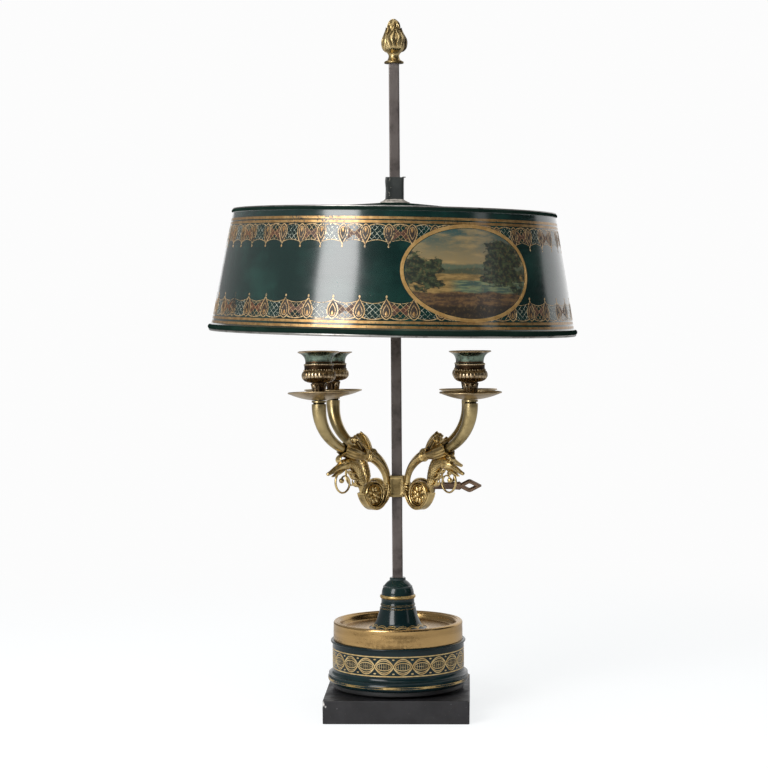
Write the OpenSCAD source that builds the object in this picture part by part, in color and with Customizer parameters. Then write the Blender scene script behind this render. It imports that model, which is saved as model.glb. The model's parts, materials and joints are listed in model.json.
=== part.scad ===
// Bouillotte lamp: a stone plinth and a painted tin drum, a square iron bar with a flame finial,
// a four-light candle bracket clamped to the bar by a key, and a painted tin shade that slides
// on the bar. Millimetres. The origin is the middle of the plinth's underside, +Z is up and
// +X points at the key.

/* [Plinth and drum] */
// Side of the square stone plinth
plinth_w = 134.5; // [128:0.5:160]
// Thickness of the plinth
plinth_h = 21.5; // [16:0.5:35]
// Height of the black ring under the drum
foot_ring_h = 6.5; // [4:0.5:9]
// Height of the narrow step that the ring stands on
foot_ring_step = 2.5; // [1:0.5:4]
// How far that step stands in from the ring's edge
foot_ring_recess = 9; // [4:0.5:14]
// How far the ring stands in from the drum's foot moulding
foot_ring_inset = 4.2; // [3:0.1:5]
// Radius of the drum's wall
drum_r = 62; // [57:0.5:64]
// Height of the drum's wall, from its foot to the middle of its top bead
drum_h = 39; // [34:0.5:60]
// Radius of the round moulding at the drum's foot
foot_mould_r = 4.6; // [3.5:0.1:5]
// Radius of the hollow moulding above it
foot_cove_r = 3.6; // [2:0.1:4]
// Radius of the bead at the drum's mouth
drum_bead_r = 1; // [1:0.1:2.5]
// Thickness of the tinned sheet
tin_t = 1; // [0.7:0.1:1.5]

/* [Brass dish] */
// Height of the dish's crest above the drum's bead
dish_rise = 18.5; // [14:0.5:30]
// Depth of the dish below its crest
dish_depth = 7; // [5:0.5:12]
// Thickness of the dish's metal
dish_t = 1.5; // [1:0.1:2.5]
// Radius of the rolled rim
dish_rim_r = 3.5; // [2.5:0.1:4.5]
// Length of the skirt that goes down into the drum
dish_skirt = 7; // [4:0.5:12]
// Gap between the skirt and the drum
skirt_gap = 0.1; // [0.05:0.05:0.4]

/* [Bell foot] */
// Radius of the bell at the dish
bell_r = 27.3; // [22:0.1:34]
// Height of the bell, with its top collar
bell_h = 47.5; // [44:0.5:60]
// Radius of the waist under the ring
bell_waist_r = 15.7; // [13:0.1:18]
// Radius of the bell's top collar
bell_collar_r = 7.6; // [7.4:0.1:10]
// Height of the waist's gilt ring above the dish
bell_ring_h = 29.7; // [27:0.1:32]
// Thickness of the bell's metal
bell_t = 1.2; // [0.8:0.1:2]

/* [Bar and its nut] */
// Width of the square iron bar
bar_w = 9.6; // [8:0.1:10]
// Length of the square part of the bar
bar_len = 529.5; // [500:0.5:560]
// Radius of the threaded tail under the dish
tail_r = 3.9; // [3:0.1:4.4]
// How far the tail's end stays above the table
tail_clear = 2.5; // [1:0.5:6]
// Radius of the pin that carries the finial
finial_pin_r = 2.4; // [2:0.1:3]
// Length of that pin
finial_pin_len = 9; // [6:0.5:12]
// Width of the nut across its flats
nut_w = 14; // [11:0.5:17]
// Thickness of the nut
nut_h = 6; // [4:0.5:7]
// Radius of the washer
washer_r = 11; // [10:0.5:13]
// Thickness of the washer
washer_h = 1.5; // [1:0.5:2]
// Height of the pocket for the nut under the plinth
pocket_h = 10.5; // [9:0.5:13]

/* [Finial] */
// Height of the flame finial
finial_h = 42; // [40:0.5:50]
// Largest radius of the flame
flame_r = 12.3; // [10:0.1:15]
// Radius of the finial's foot
finial_foot_r = 9.2; // [8:0.1:11]
// Radius of the finial's neck
finial_neck_r = 4.9; // [4:0.1:6]

/* [Candle bracket] */
// Height of the middle of the collar above the dish's floor
collar_lift = 134; // [120:1:150]
// Side of the square collar
collar_w = 18; // [17.5:0.5:22]
// Height of the collar
collar_h = 20; // [18:0.5:26]
// Play between the collar and the bar, each side
collar_play = 0.5; // [0.45:0.05:0.7]
// How far the bracket has sunk back on its loose collar, degrees
bracket_tilt = 1.8; // [0:0.1:2]
// Bearing of each arm about the bar, in degrees from the key: front right, front left, rear left, rear right
arm_bearings = [-47, -131, 129.5, 49];
// Distance from the bar's axis to each candle's axis
arm_reach = 102.6; // [98:0.1:108]
// Height of the horn's mouth above the middle of the collar
horn_rise = 82.4; // [78:0.1:90]
// Radius of the horn at its mouth
horn_mouth_r = 6.7; // [6:0.1:7.5]
// Radius of the horn's root, inside the leaf cup
horn_root_r = 3.6; // [3.2:0.1:4]
// Radius of the scrolled stem at the collar
stem_foot_r = 2.7; // [2.4:0.1:3]
// Radius of the scrolled stem at the leaf cup
stem_tip_r = 4.1; // [3.6:0.1:4.5]
// Depth of the scroll below the middle of the collar
scroll_drop = 20.8; // [18:0.1:22]
// Thickness of the scroll's band
band_t = 2.6; // [2:0.1:3.2]
// Width of the scroll's band
band_w = 8; // [6:0.1:9]
// Outer radius of the ring round the rosette
rosette_r = 12.7; // [11:0.1:14]
// Thickness of the rosette's disc
rosette_t = 3.4; // [2.5:0.1:4.5]
// Radius of the tenon that holds an arm in the collar
tenon_r = 2; // [1.5:0.1:2.2]
// Metal of the leaf cup around the horn
leaf_t = 0.9; // [0.8:0.1:1.2]
// Height of the leaf's curled tip above the horn's root
leaf_tip_rise = 14.2; // [13:0.1:18]

/* [Candle sockets] */
// Radius of the candle's bore
candle_r = 11; // [10:0.1:11.2]
// Depth of the straight bore
candle_depth = 17.5; // [14:0.5:18]
// Height of a socket above its pan
cup_h = 43.6; // [42:0.1:50]
// Radius of the flared rim
cup_rim_r = 19.8; // [16:0.1:22]
// Radius of the bulb
cup_bulb_r = 16.7; // [14.5:0.1:17]
// Radius of the neck above the bulb
cup_neck_r = 13; // [12:0.1:13]
// Radius of a drip pan
pan_r = 28.4; // [24:0.1:31]
// Depth of a drip pan
pan_depth = 7.5; // [5:0.1:8]
// Thickness of a drip pan
pan_t = 0.8; // [0.6:0.1:1.2]
// Radius of the screw that holds socket and pan on the horn
stud_r = 2; // [1.5:0.1:2.2]
// Gap around the screws and pins
pin_gap = 0.05; // [0.03:0.01:0.1]

/* [Key] */
// Radius of the key's screw
key_screw_r = 2.5; // [2:0.1:3]
// Distance the key moves in one turn
key_pitch = 1; // [0.8:0.1:1.2]
// Reach of the key from the bar's axis to its tip
key_reach = 79.5; // [74:0.5:84]
// Length of the key's bow
bow_len = 22.5; // [18:0.5:24]
// Height of the bow
bow_h = 13.4; // [12:0.1:16]
// Width of the metal round the bow's hole
bow_rim = 3.3; // [2.5:0.1:4]
// Thickness of the bow
bow_t = 4.5; // [3:0.1:6]
// Height of the key's flat shank
shank_h = 6.4; // [5.5:0.1:8]
// Turn of the bow from upright, degrees
key_turn = 25; // [0:1:60]
// Thickness of the pad that the screw presses on the bar
pad_t = 1.2; // [1:0.1:1.5]
// Gap between the pad and the bar
pad_gap = 0.05; // [0.03:0.01:0.1]

/* [Shade] */
// Radius of the shade's wall at the top
shade_top_r = 150.3; // [140:0.1:160]
// Radius of the shade's wall at the bottom
shade_bottom_r = 170.5; // [160:0.1:180]
// Height of the shade's wall
shade_h = 111.5; // [105:0.5:125]
// Radius of the rolled bead at the top
top_bead_r = 1.8; // [1.6:0.1:2.5]
// Radius of the rolled bead at the bottom
bottom_bead_r = 2.4; // [2:0.1:3]
// Height of the conical roof over its rim
roof_rise = 10; // [6:0.5:14]
// Side of the square sleeve
sleeve_w = 16.6; // [15:0.1:18]
// Height of the sleeve above the roof
sleeve_h = 22.5; // [20:0.5:30]
// Thickness of the sleeve
sleeve_t = 0.9; // [0.7:0.1:1.1]
// Distance of the sleeve's top below the end of the bar
shade_drop = 106; // [98:0.5:130]
// Radius of the solder round the sleeve's foot
solder_r = 15; // [13:0.1:20]
// How far the shade hangs out of true on the bar, degrees
shade_lean = 1.4; // [0:0.1:2]
// Thickness of the leaf springs in the sleeve
spring_t = 0.5; // [0.4:0.1:0.6]
// Gap between the springs and the bar
spring_gap = 0.1; // [0.05:0.05:0.2]

/* [Hidden] */
$fn = 96;
TOLE = "#1f3631";
BRASS = "#b08f4a";
GILT = "#c49a4b";
IRON = "#59534f";

// Heights of the base, from the table up
z_ring = plinth_h;
z_drum = z_ring + foot_ring_h;
z_bead = z_drum + drum_h;
z_skirt = z_bead - dish_skirt;
z_crest = z_bead + dish_rise;
z_dish = z_crest - dish_depth;
z_bar_top = z_dish + bar_len;
z_collar = z_dish + collar_lift;

// Base
drum_in_r = drum_r - tin_t;
foot_r = drum_r + foot_mould_r - 0.2;
mould_c = foot_r - foot_mould_r;
ring_r = foot_r - foot_ring_inset;
ring_in_r = ring_r - foot_ring_recess - 9;
flange_w = 4.6;
skirt_r = drum_in_r - skirt_gap;
rim_c = skirt_r - dish_rim_r;
basin_r = rim_c - dish_rim_r;
basin_cove = 2.9;
ballast_gap = 0.6;
ballast_step_h = 5;
hub_r = 14;
tail_gap = 0.3;
pocket_r = washer_r + 2.5;

// Bell foot
bell_flare_h = bell_ring_h - 10.7;
bell_flare = [[bell_r, 0], [bell_r - 5.8, 1.5], [bell_waist_r + 3.3, bell_flare_h - 9], [bell_waist_r + 1.2, bell_flare_h]];
bell_dome_r = bell_waist_r - 0.5;
bell_dome_z = bell_ring_h + 1.8;
bell_collar_h = 2.5;
bell_ring_t = 1.7;
bell_line_t = 0.7;
square_gap = 0.1;

// Bracket: u is the distance from the bar's axis, w the height over the middle of the collar
collar_hole = bar_w / 2 + collar_play;
collar_flat = 11.6;
panel_d = 0.5;
panel_rim = 2.4;
stem_u = collar_flat + stem_foot_r + 0.05;
stem_w = 2.4;
ring_pitch = 2.6;
knee = [45, 30.9];
stem_rise = 16;
stem_path = [[stem_u, stem_w], [stem_u, stem_w + stem_rise], knee - [13.7, 2.4], knee];
horn_bend = 26;
horn_bend_w = horn_rise - 6;
horn_path = [knee, knee + [31.7, 3], [arm_reach, horn_bend_w - horn_bend], [arm_reach, horn_bend_w]];
horn_seat = 0.14;
horn_show = 0.32;
neck_u = 48.4;
neck_w = -4;
scroll_low = [(stem_u + neck_u) / 2, band_t / 2 - scroll_drop];
scroll_in = [[stem_u, stem_w], [stem_u, -9], [stem_u + 7.5, scroll_low[1]], scroll_low];
scroll_out = [scroll_low, scroll_low + [8, 0], [neck_u - 2, neck_w - 7.5], [neck_u, neck_w]];
rosette_c = scroll_low + [1.2, rosette_r + 0.4];
rosette_rim = 2.2;
neck_foot = [neck_u, neck_w + pin_gap];
neck_rise = 27.5;
neck_path = [neck_foot, neck_foot + [0, 15], neck_foot + [5.6, neck_rise + 3], neck_foot + [20, neck_rise]];
head_path = [neck_path[3], neck_path[3] + [7, -0.6], neck_path[3] + [15, -5.5], neck_path[3] + [22.5, -8.2]];
beard_drop = 16.1;
beard_c = neck_path[3] + [3.2, -beard_drop];
beard_r = 10.4;
beard_from = 55;
beard_turn = 420;
beard_t = 1.1;
curl_path = [neck_path[3] + [5.5, 7.5], neck_path[3] + [14.5, 8], neck_path[3] + [14, 0], neck_path[3] + [6, 2]];
curl_t = 0.9;
leaf_tip = knee + [13, leaf_tip_rise];
leaf_curl_r = 3.4;
leaf_w = 7;

// Sockets
pan_w = horn_rise + 0.1;
cup_w = pan_w + pan_t;
cup_wall = 0.9;
cup_floor = cup_h - 9.6 - candle_depth;
cup_bulb_h = 21.3;
cup_bulb_half = 8.2;
cup_band_h = [26.2, 31.8];
cup_neck_h = 33;
cup_stem_r = 4.3;
cup_foot_r = 6;
stud_depth = 8;

// Key
pad_x = bar_w / 2 + pad_gap;
pad_y = 3.6;
pad_z = 6.5;
pad_room = key_pitch + 0.2;
pocket_x = pad_x + pad_t + pad_room;
boss_r = 4.5;
boss_x = collar_w / 2 + 3.5;
shank_t = 4;
bow_x = key_reach - bow_len;

// Shade: heights over the table
z_sleeve_top = z_bar_top - shade_drop;
z_roof_top = z_sleeve_top - sleeve_h;
z_rim = z_roof_top - roof_rise;
z_shade_foot = z_rim - shade_h;
z_lean = z_sleeve_top - sleeve_h / 2;
sleeve_in = sleeve_w / 2 - sleeve_t;
wire_gap = 0.1;
bead_wall = 0.8;
spring_half = 9;
spring_bow = sleeve_in - bar_w / 2 - spring_gap - spring_t;
spring_w = 5;
solder_h = 3;

// A point on a cubic curve, and the direction of the curve there
function curve(p, t) =
    pow(1 - t, 3) * p[0] + 3 * pow(1 - t, 2) * t * p[1] + 3 * (1 - t) * t * t * p[2] + pow(t, 3) * p[3];
function slope(p, t) =
    let (d = pow(1 - t, 2) * (p[1] - p[0]) + 2 * (1 - t) * t * (p[2] - p[1]) + t * t * (p[3] - p[2]))
    d / norm(d);
function mix(a, b, t) = a + (b - a) * t;
function curve_points(p, n) = [for (i = [0:n]) curve(p, i / n)];
function oval_points(c, a, b, from, to, n) =
    [for (i = [0:n]) let (t = mix(from, to, i / n)) c + [a * cos(t), b * sin(t)]];

// A tube through rings of points: each station is [u, w, direction, half height, half width]
module tube(stations, sides) {
    n = len(stations);
    points = [for (s = stations) for (k = [0:sides - 1])
        let (a = 360 * k / sides, across = [-s[2][1], s[2][0]])
        [s[0] + across[0] * s[3] * cos(a), s[4] * sin(a), s[1] + across[1] * s[3] * cos(a)]];
    walls = [for (i = [0:n - 2]) for (k = [0:sides - 1])
        let (j = (k + 1) % sides, a = i * sides + k, b = i * sides + j, c = a + sides, d = b + sides)
        each [[a, b, c], [b, d, c]]];
    ends = [[for (k = [sides - 1:-1:0]) k], [for (k = [0:sides - 1]) (n - 1) * sides + k]];
    polyhedron(points, concat(walls, ends));
}

// Stations along a cubic curve, from t0 to t1, with half heights and half widths that change evenly
function stations(p, t0, t1, n, h0, h1, w0, w1) =
    [for (i = [0:n])
        let (k = i / n, t = mix(t0, t1, k), c = curve(p, t))
        [c[0], c[1], slope(p, t), mix(h0, h1, k), mix(w0, w1, k)]];
function round_stations(p, t0, t1, n, r0, r1) = stations(p, t0, t1, n, r0, r1, r0, r1);

// Outline of a band of even thickness t along a cubic curve
function band_points(p, t, n) =
    let (side = [for (i = [0:n]) let (d = slope(p, i / n)) [-d[1], d[0]] * t / 2], line = curve_points(p, n))
    concat([for (i = [0:n]) line[i] + side[i]], [for (i = [n:-1:0]) line[i] - side[i]]);

module on_bracket() {
    translate([0, 0, z_collar]) rotate([-bracket_tilt, 0, 0]) children();
}

module on_arm(i) {
    on_bracket() rotate([0, 0, arm_bearings[i]]) children();
}

module on_shade() {
    translate([0, 0, z_lean]) rotate([0, shade_lean, 0]) translate([0, 0, -z_lean]) children();
}

// An outline in the arm's own plane, with its thickness centred on that plane
module slab(t) {
    rotate([90, 0, 0]) linear_extrude(t, center = true) children();
}

module plinth() {
    color("#26262a") difference() {
        translate([-plinth_w / 2, -plinth_w / 2, 0]) cube([plinth_w, plinth_w, plinth_h]);
        translate([0, 0, -1]) cylinder(h = plinth_h + 2, r = tail_r + tail_gap);
        translate([0, 0, -1]) cylinder(h = pocket_h + 1, r = pocket_r);
    }
}

module foot_ring() {
    color("#16181a") translate([0, 0, z_ring]) difference() {
        union() {
            translate([0, 0, foot_ring_step]) cylinder(h = foot_ring_h - foot_ring_step, r = ring_r);
            cylinder(h = foot_ring_h, r = ring_r - foot_ring_recess);
        }
        translate([0, 0, -1]) cylinder(h = foot_ring_h + 2, r = ring_in_r);
    }
}

module drum_wall() {
    cove_z = 2 * foot_mould_r - 0.2;
    color(TOLE) translate([0, 0, z_drum]) rotate_extrude() {
        translate([drum_in_r, foot_mould_r]) square([tin_t, drum_h - foot_mould_r]);
        translate([drum_r + drum_bead_r - 0.4, drum_h]) circle(drum_bead_r);
        translate([drum_in_r, drum_h - drum_bead_r]) square([tin_t + 0.4, 2 * drum_bead_r]);
        translate([mould_c - flange_w, 0]) square([flange_w, tin_t]);
        difference() {
            union() {
                translate([mould_c, foot_mould_r]) circle(foot_mould_r);
                translate([drum_in_r, cove_z]) square([foot_cove_r + tin_t, foot_cove_r]);
            }
            translate([mould_c, foot_mould_r]) circle(foot_mould_r - tin_t);
            translate([drum_r + foot_cove_r, cove_z + foot_cove_r]) circle(foot_cove_r);
            translate([mould_c - 2 * foot_mould_r, tin_t]) square([2 * foot_mould_r - (mould_c - drum_in_r), drum_h]);
        }
    }
}

module ballast() {
    body_r = drum_in_r - ballast_gap;
    color("#4b4b4d") translate([0, 0, z_drum]) difference() {
        union() {
            cylinder(h = ballast_step_h, r = mould_c - flange_w - ballast_gap);
            translate([0, 0, ballast_step_h]) cylinder(h = z_skirt - z_drum - ballast_step_h, r = body_r);
            cylinder(h = z_dish - dish_t - z_drum, r = hub_r);
        }
        translate([0, 0, -1]) cylinder(h = z_dish, r = tail_r + tail_gap);
    }
}

module brass_dish() {
    color(BRASS) rotate_extrude() {
        translate([skirt_r - dish_t, z_skirt]) square([dish_t, z_crest - dish_rim_r - z_skirt]);
        translate([rim_c, z_crest - dish_rim_r]) circle(dish_rim_r);
        translate([tail_r + tail_gap, z_dish - dish_t]) square([basin_r - tail_r - tail_gap + dish_t, dish_t]);
        polygon([
            [basin_r + dish_t, z_dish - dish_t], [basin_r + dish_t, z_crest - dish_rim_r],
            [basin_r, z_crest - dish_rim_r], [basin_r - basin_cove / 2, z_dish + 0.7], [basin_r - basin_cove, z_dish],
            [basin_r - basin_cove, z_dish - dish_t]
        ]);
    }
}

// Half outline of the bell, drawn in by t for its hollow
module bell_outline(t) {
    dome_b = (bell_h - bell_collar_h - bell_dome_z) / sqrt(1 - pow(bell_collar_r / bell_dome_r, 2));
    dome_end = acos(bell_collar_r / bell_dome_r);
    polygon(concat(
        [[0, 0]],
        [for (p = curve_points(bell_flare, 10)) [p[0] - t, p[1]]],
        [[bell_waist_r - t, bell_flare_h], [bell_waist_r - t, bell_ring_h], [bell_dome_r - t, bell_ring_h]],
        [for (p = oval_points([0, bell_dome_z], bell_dome_r - t, dome_b - t, 0, dome_end, 8)) p],
        [[0, bell_dome_z + (dome_b - t) * sin(dome_end)]]
    ));
}

module bell_foot() {
    color(TOLE) translate([0, 0, z_dish]) difference() {
        rotate_extrude() {
            bell_outline(0);
            square([bell_collar_r, bell_h]);
            translate([bell_waist_r - 0.6, bell_ring_h]) circle(bell_ring_t);
            translate([bell_waist_r, bell_flare_h]) circle(2 * bell_line_t);
            translate([bell_waist_r - 0.2, bell_flare_h + 3]) circle(bell_line_t);
        }
        rotate_extrude() intersection() {
            bell_outline(bell_t);
            square([bell_r, bell_h - 2 * bell_collar_h - bell_t]);
        }
        translate([0, 0, bell_h / 2]) cube([bar_w + 2 * square_gap, bar_w + 2 * square_gap, 2 * bell_h], center = true);
    }
}

module bar() {
    color(IRON) {
        translate([-bar_w / 2, -bar_w / 2, z_dish]) cube([bar_w, bar_w, bar_len]);
        translate([0, 0, tail_clear]) cylinder(h = z_dish - tail_clear, r = tail_r);
        translate([0, 0, z_bar_top]) cylinder(h = finial_pin_len, r = finial_pin_r);
    }
}

module bar_washer() {
    color(IRON) translate([0, 0, pocket_h - washer_h]) difference() {
        cylinder(h = washer_h, r = washer_r);
        translate([0, 0, -1]) cylinder(h = washer_h + 2, r = tail_r + tail_gap);
    }
}

module bar_nut() {
    color(IRON) translate([0, 0, pocket_h - washer_h - nut_h]) difference() {
        cylinder(h = nut_h, r = nut_w / sqrt(3), $fn = 6);
        translate([0, 0, -1]) cylinder(h = nut_h + 2, r = tail_r + pin_gap);
    }
}

module finial() {
    neck_h = 7.4;
    swell_h = 18.6;
    waist_h = 29.5;
    waist_r = 7.2;
    bulge = 5.5;
    color(GILT) translate([0, 0, z_bar_top]) difference() {
        rotate_extrude() polygon(concat(
            [[0, 0], [finial_foot_r - 0.8, 0], [finial_foot_r, 0.9], [finial_foot_r, 1.7]],
            curve_points([[finial_foot_r, 1.7], [6.2, 2.6], [finial_neck_r, 6], [finial_neck_r, neck_h]], 6),
            curve_points([[finial_neck_r, neck_h], [finial_neck_r, neck_h + 4.8], [flame_r, swell_h - 6.5], [flame_r, swell_h]], 8),
            curve_points([[flame_r, swell_h], [flame_r, swell_h + bulge], [waist_r + 0.9, waist_h - 3.5], [waist_r, waist_h]], 8),
            curve_points([[waist_r, waist_h], [waist_r - 1.2, waist_h + 4.5], [waist_r * 0.62, finial_h - 4.5], [0, finial_h]], 8)
        ));
        translate([0, 0, -1]) cylinder(h = finial_pin_len + 1.5, r = finial_pin_r + pin_gap);
    }
}

module collar() {
    face = collar_w / 2;
    panel = collar_w - 2 * panel_rim;
    color(GILT) on_bracket() difference() {
        union() {
            intersection() {
                cube([collar_w, collar_w, collar_h], center = true);
                rotate([0, 0, 45]) cube([2 * collar_flat, 2 * collar_flat, collar_h], center = true);
            }
            rotate([0, 90, 0]) cylinder(h = boss_x, r = boss_r);
        }
        cube([2 * collar_hole, 2 * collar_hole, collar_h + 2], center = true);
        translate([0, -face, 0]) cube([panel, 2 * panel_d, collar_h - 2 * panel_rim], center = true);
        translate([0, face, 0]) cube([panel, 2 * panel_d, collar_h - 2 * panel_rim], center = true);
        translate([-face, 0, 0]) cube([2 * panel_d, panel, collar_h - 2 * panel_rim], center = true);
        translate([0, -pad_y - 0.3, -pad_z - 0.3]) cube([pocket_x, 2 * pad_y + 0.6, 2 * pad_z + 0.6]);
        rotate([0, 90, 0]) cylinder(h = 2 * boss_x, r = key_screw_r + pin_gap);
        for (a = arm_bearings) rotate([0, 0, a]) rotate([0, 90, 0]) cylinder(h = collar_w, r = tenon_r + pin_gap);
    }
}

// The scrolled stem and the horn, fatter by gap where they are used to cut their own sockets
module stem_tube(gap) {
    tube(round_stations(stem_path, 0, 1, 12, stem_foot_r + gap, stem_tip_r + gap), 16);
}

module horn_tube(gap) {
    tube(round_stations(horn_path, horn_seat, 1, 16, horn_root_r + gap, horn_mouth_r - 0.1 + gap), 20);
}

module scroll_arm(i) {
    tenon_in = collar_hole + 2.6;
    color(GILT) on_arm(i) {
        translate([tenon_in, 0, 0]) rotate([0, 90, 0]) cylinder(h = stem_u - tenon_in, r = tenon_r);
        translate([stem_u, 0, -4]) cylinder(h = stem_w + 4.05, r = stem_foot_r);
        stem_tube(0);
        for (k = [-1:1]) translate([stem_u, 0, stem_w - 2.6 + k * ring_pitch]) rotate_extrude()
            translate([stem_foot_r - 0.4, 0]) circle(0.8);
        slab(band_w) polygon(band_points(scroll_in, band_t, 10));
        slab(band_w) polygon(band_points(scroll_out, band_t, 10));
        translate([rosette_c[0], 0, rosette_c[1]]) {
            slab(rosette_t) circle(rosette_r - rosette_rim / 2);
            slab(band_w) difference() {
                circle(rosette_r);
                circle(rosette_r - rosette_rim);
            }
            slab(rosette_t + 2.4) circle(2.6);
            for (a = [0:45:315]) rotate([0, a, 0]) translate([6.2, 0, 0])
                rotate([90, 0, 0]) cylinder(h = rosette_t + 1.6, r = 1.7, center = true);
        }
    }
}

module beast(i) {
    steps = 26;
    beard = [for (k = [0:steps])
        let (a = beard_from - beard_turn * k / steps, c = max(0, k / steps - 0.45) / 0.55)
        let (r = beard_r * (1 - 0.78 * pow(c, 1.2)))
        [beard_c[0] + r * cos(a), beard_c[1] + r * sin(a), [sin(a), -cos(a)], beard_t, beard_t * 1.5]];
    knob = beard[steps];
    color(GILT) on_arm(i) {
        tube(concat(
            stations(neck_path, 0, 0.5, 5, band_t / 2, 5.2, band_w / 2, 4.4),
            stations(neck_path, 0.6, 1, 4, 5.2, 5, 4.4, 4.8),
            stations(head_path, 0.12, 0.55, 4, 4.9, 3.6, 4.7, 3.2),
            stations(head_path, 0.65, 1, 3, 2.6, 0.7, 2.2, 0.9)
        ), 14);
        tube(beard, 8);
        translate([knob[0], 0, knob[1]]) rotate([90, 0, 0]) cylinder(h = 4.4, r = 2.2, center = true, $fn = 24);
        tube(stations(curl_path, 0, 1, 8, curl_t, curl_t, 2.4, 2.4), 8);
    }
}

module leaf_cup(i) {
    root_r = stem_tip_r + pin_gap + leaf_t;
    mouth_r = horn_root_r + (horn_mouth_r - horn_root_r) * (horn_show - horn_seat) / (1 - horn_seat) + pin_gap + leaf_t;
    color(GILT) on_arm(i) difference() {
        union() {
            tube(concat(
                round_stations(stem_path, 0.86, 0.97, 1, root_r - 0.2, root_r),
                round_stations(horn_path, 0.03, horn_show, 6, root_r, mouth_r)
            ), 20);
            slab(leaf_w) polygon(concat(
                [knee + [-3, 1]],
                curve_points([knee + [-4, 3], knee + [1, 8], leaf_tip - [8, 3], leaf_tip - [leaf_curl_r, 0]], 6),
                curve_points([leaf_tip + [leaf_curl_r, 0], leaf_tip + [5, -4], leaf_tip + [9, -6], leaf_tip + [14, -6]], 4),
                [knee + [20, 4]]
            ));
            translate([leaf_tip[0], 0, leaf_tip[1]]) rotate([90, 0, 0])
                cylinder(h = leaf_w + 1, r = leaf_curl_r, center = true, $fn = 32);
        }
        stem_tube(pin_gap);
        horn_tube(pin_gap);
    }
}

module horn(i) {
    color(BRASS) on_arm(i) difference() {
        union() {
            horn_tube(0);
            translate([arm_reach, 0, horn_bend_w - 1]) cylinder(h = horn_rise - horn_bend_w + 1, r = horn_mouth_r);
        }
        translate([arm_reach, 0, horn_rise - stud_depth]) cylinder(h = stud_depth + 1, r = stud_r + pin_gap);
    }
}

module drip_pan(i) {
    function dish(r) = pan_depth * pow(r / pan_r, 2);
    inner = cup_foot_r;
    steps = 10;
    color(BRASS) on_arm(i) translate([arm_reach, 0, pan_w]) rotate_extrude() {
        polygon(concat(
            [[stud_r + pin_gap, pan_t], [stud_r + pin_gap, 0], [horn_mouth_r, 0]],
            [for (k = [1:steps]) let (r = mix(horn_mouth_r, pan_r, k / steps)) [r, dish(r) - dish(horn_mouth_r) * (1 - k / steps)]],
            [for (k = [steps:-1:1]) let (r = mix(inner, pan_r, k / steps)) [r, dish(r) - dish(inner) * (1 - k / steps) + pan_t]],
            [[inner, pan_t]]
        ));
        translate([pan_r, pan_depth + pan_t / 2]) circle(pan_t * 0.75);
    }
}

module socket(i) {
    flare = [[cup_neck_r, cup_neck_h], [cup_neck_r, cup_neck_h + 5], [cup_rim_r - 4, cup_h - 2.6], [cup_rim_r, cup_h - 0.6]];
    bulb_in = asin((13.4 - cup_bulb_h) / cup_bulb_half);
    bulb_out = asin((cup_band_h[0] - cup_bulb_h) / cup_bulb_half);
    color(BRASS) on_arm(i) translate([arm_reach, 0, cup_w]) difference() {
        rotate_extrude() polygon(concat(
            [[0, 0], [cup_foot_r, 0], [cup_foot_r, 1.2], [cup_stem_r + 0.4, 3], [cup_stem_r, 6.5], [cup_stem_r + 0.7, 10], [cup_stem_r + 1.6, 12.6]],
            oval_points([0, cup_bulb_h], cup_bulb_r, cup_bulb_half, bulb_in + 8, bulb_out, 12),
            [[cup_neck_r + 0.8, cup_band_h[0]], [cup_neck_r + 0.8, cup_band_h[1]], [cup_neck_r, cup_band_h[1] + 0.4]],
            curve_points(flare, 8),
            [[cup_rim_r, cup_h], [0, cup_h]]
        ));
        rotate_extrude() polygon(concat(
            [[0, cup_floor + candle_depth]],
            [[candle_r, cup_floor + candle_depth]],
            [for (p = curve_points(flare, 8)) [p[0] - cup_wall, p[1] + 0.9]],
            [[cup_rim_r - cup_wall, cup_h + 1], [0, cup_h + 1]]
        ));
        translate([0, 0, cup_floor]) cylinder(h = candle_depth + 0.01, r = candle_r);
        translate([0, 0, -1]) cylinder(h = stud_depth + 1, r = stud_r + pin_gap);
    }
}

module socket_studs() {
    color(IRON) for (i = [0:len(arm_bearings) - 1]) on_arm(i)
        translate([arm_reach, 0, horn_rise - stud_depth + 0.5]) cylinder(h = 2 * stud_depth - 1, r = stud_r);
}

module pressure_pad() {
    color(IRON) on_bracket() translate([pad_x, -pad_y, -pad_z]) cube([pad_t, 2 * pad_y, 2 * pad_z]);
}

module key() {
    screw_x = pad_x + pad_t + pin_gap;
    hole_x = bow_x + bow_rim + 2;
    color("#6b5547") on_bracket() rotate([key_turn, 0, 0]) {
        translate([screw_x, 0, 0]) rotate([0, 90, 0]) cylinder(h = boss_x + 3 - screw_x, r = key_screw_r);
        slab(shank_t) polygon([
            [boss_x + 0.5, -key_screw_r], [boss_x + 3, -shank_h / 2], [bow_x + 1, -shank_h / 2],
            [bow_x + 1, shank_h / 2], [boss_x + 3, shank_h / 2], [boss_x + 0.5, key_screw_r]
        ]);
        slab(bow_t) difference() {
            polygon([
                [bow_x - 3, -shank_h / 2], [bow_x + 4, -bow_h / 2], [bow_x + 7, -bow_h / 2], [key_reach - 1, -1.6],
                [key_reach, 0], [key_reach - 1, 1.6], [bow_x + 7, bow_h / 2], [bow_x + 4, bow_h / 2], [bow_x - 3, shank_h / 2]
            ]);
            polygon([
                [hole_x, 1 - bow_h / 2 + bow_rim], [hole_x + 1, bow_rim - bow_h / 2], [hole_x + 3.5, bow_rim - bow_h / 2],
                [key_reach - 2.2 * bow_rim, 0], [hole_x + 3.5, bow_h / 2 - bow_rim], [hole_x + 1, bow_h / 2 - bow_rim],
                [hole_x, bow_h / 2 - bow_rim - 1]
            ]);
        }
    }
}

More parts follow.
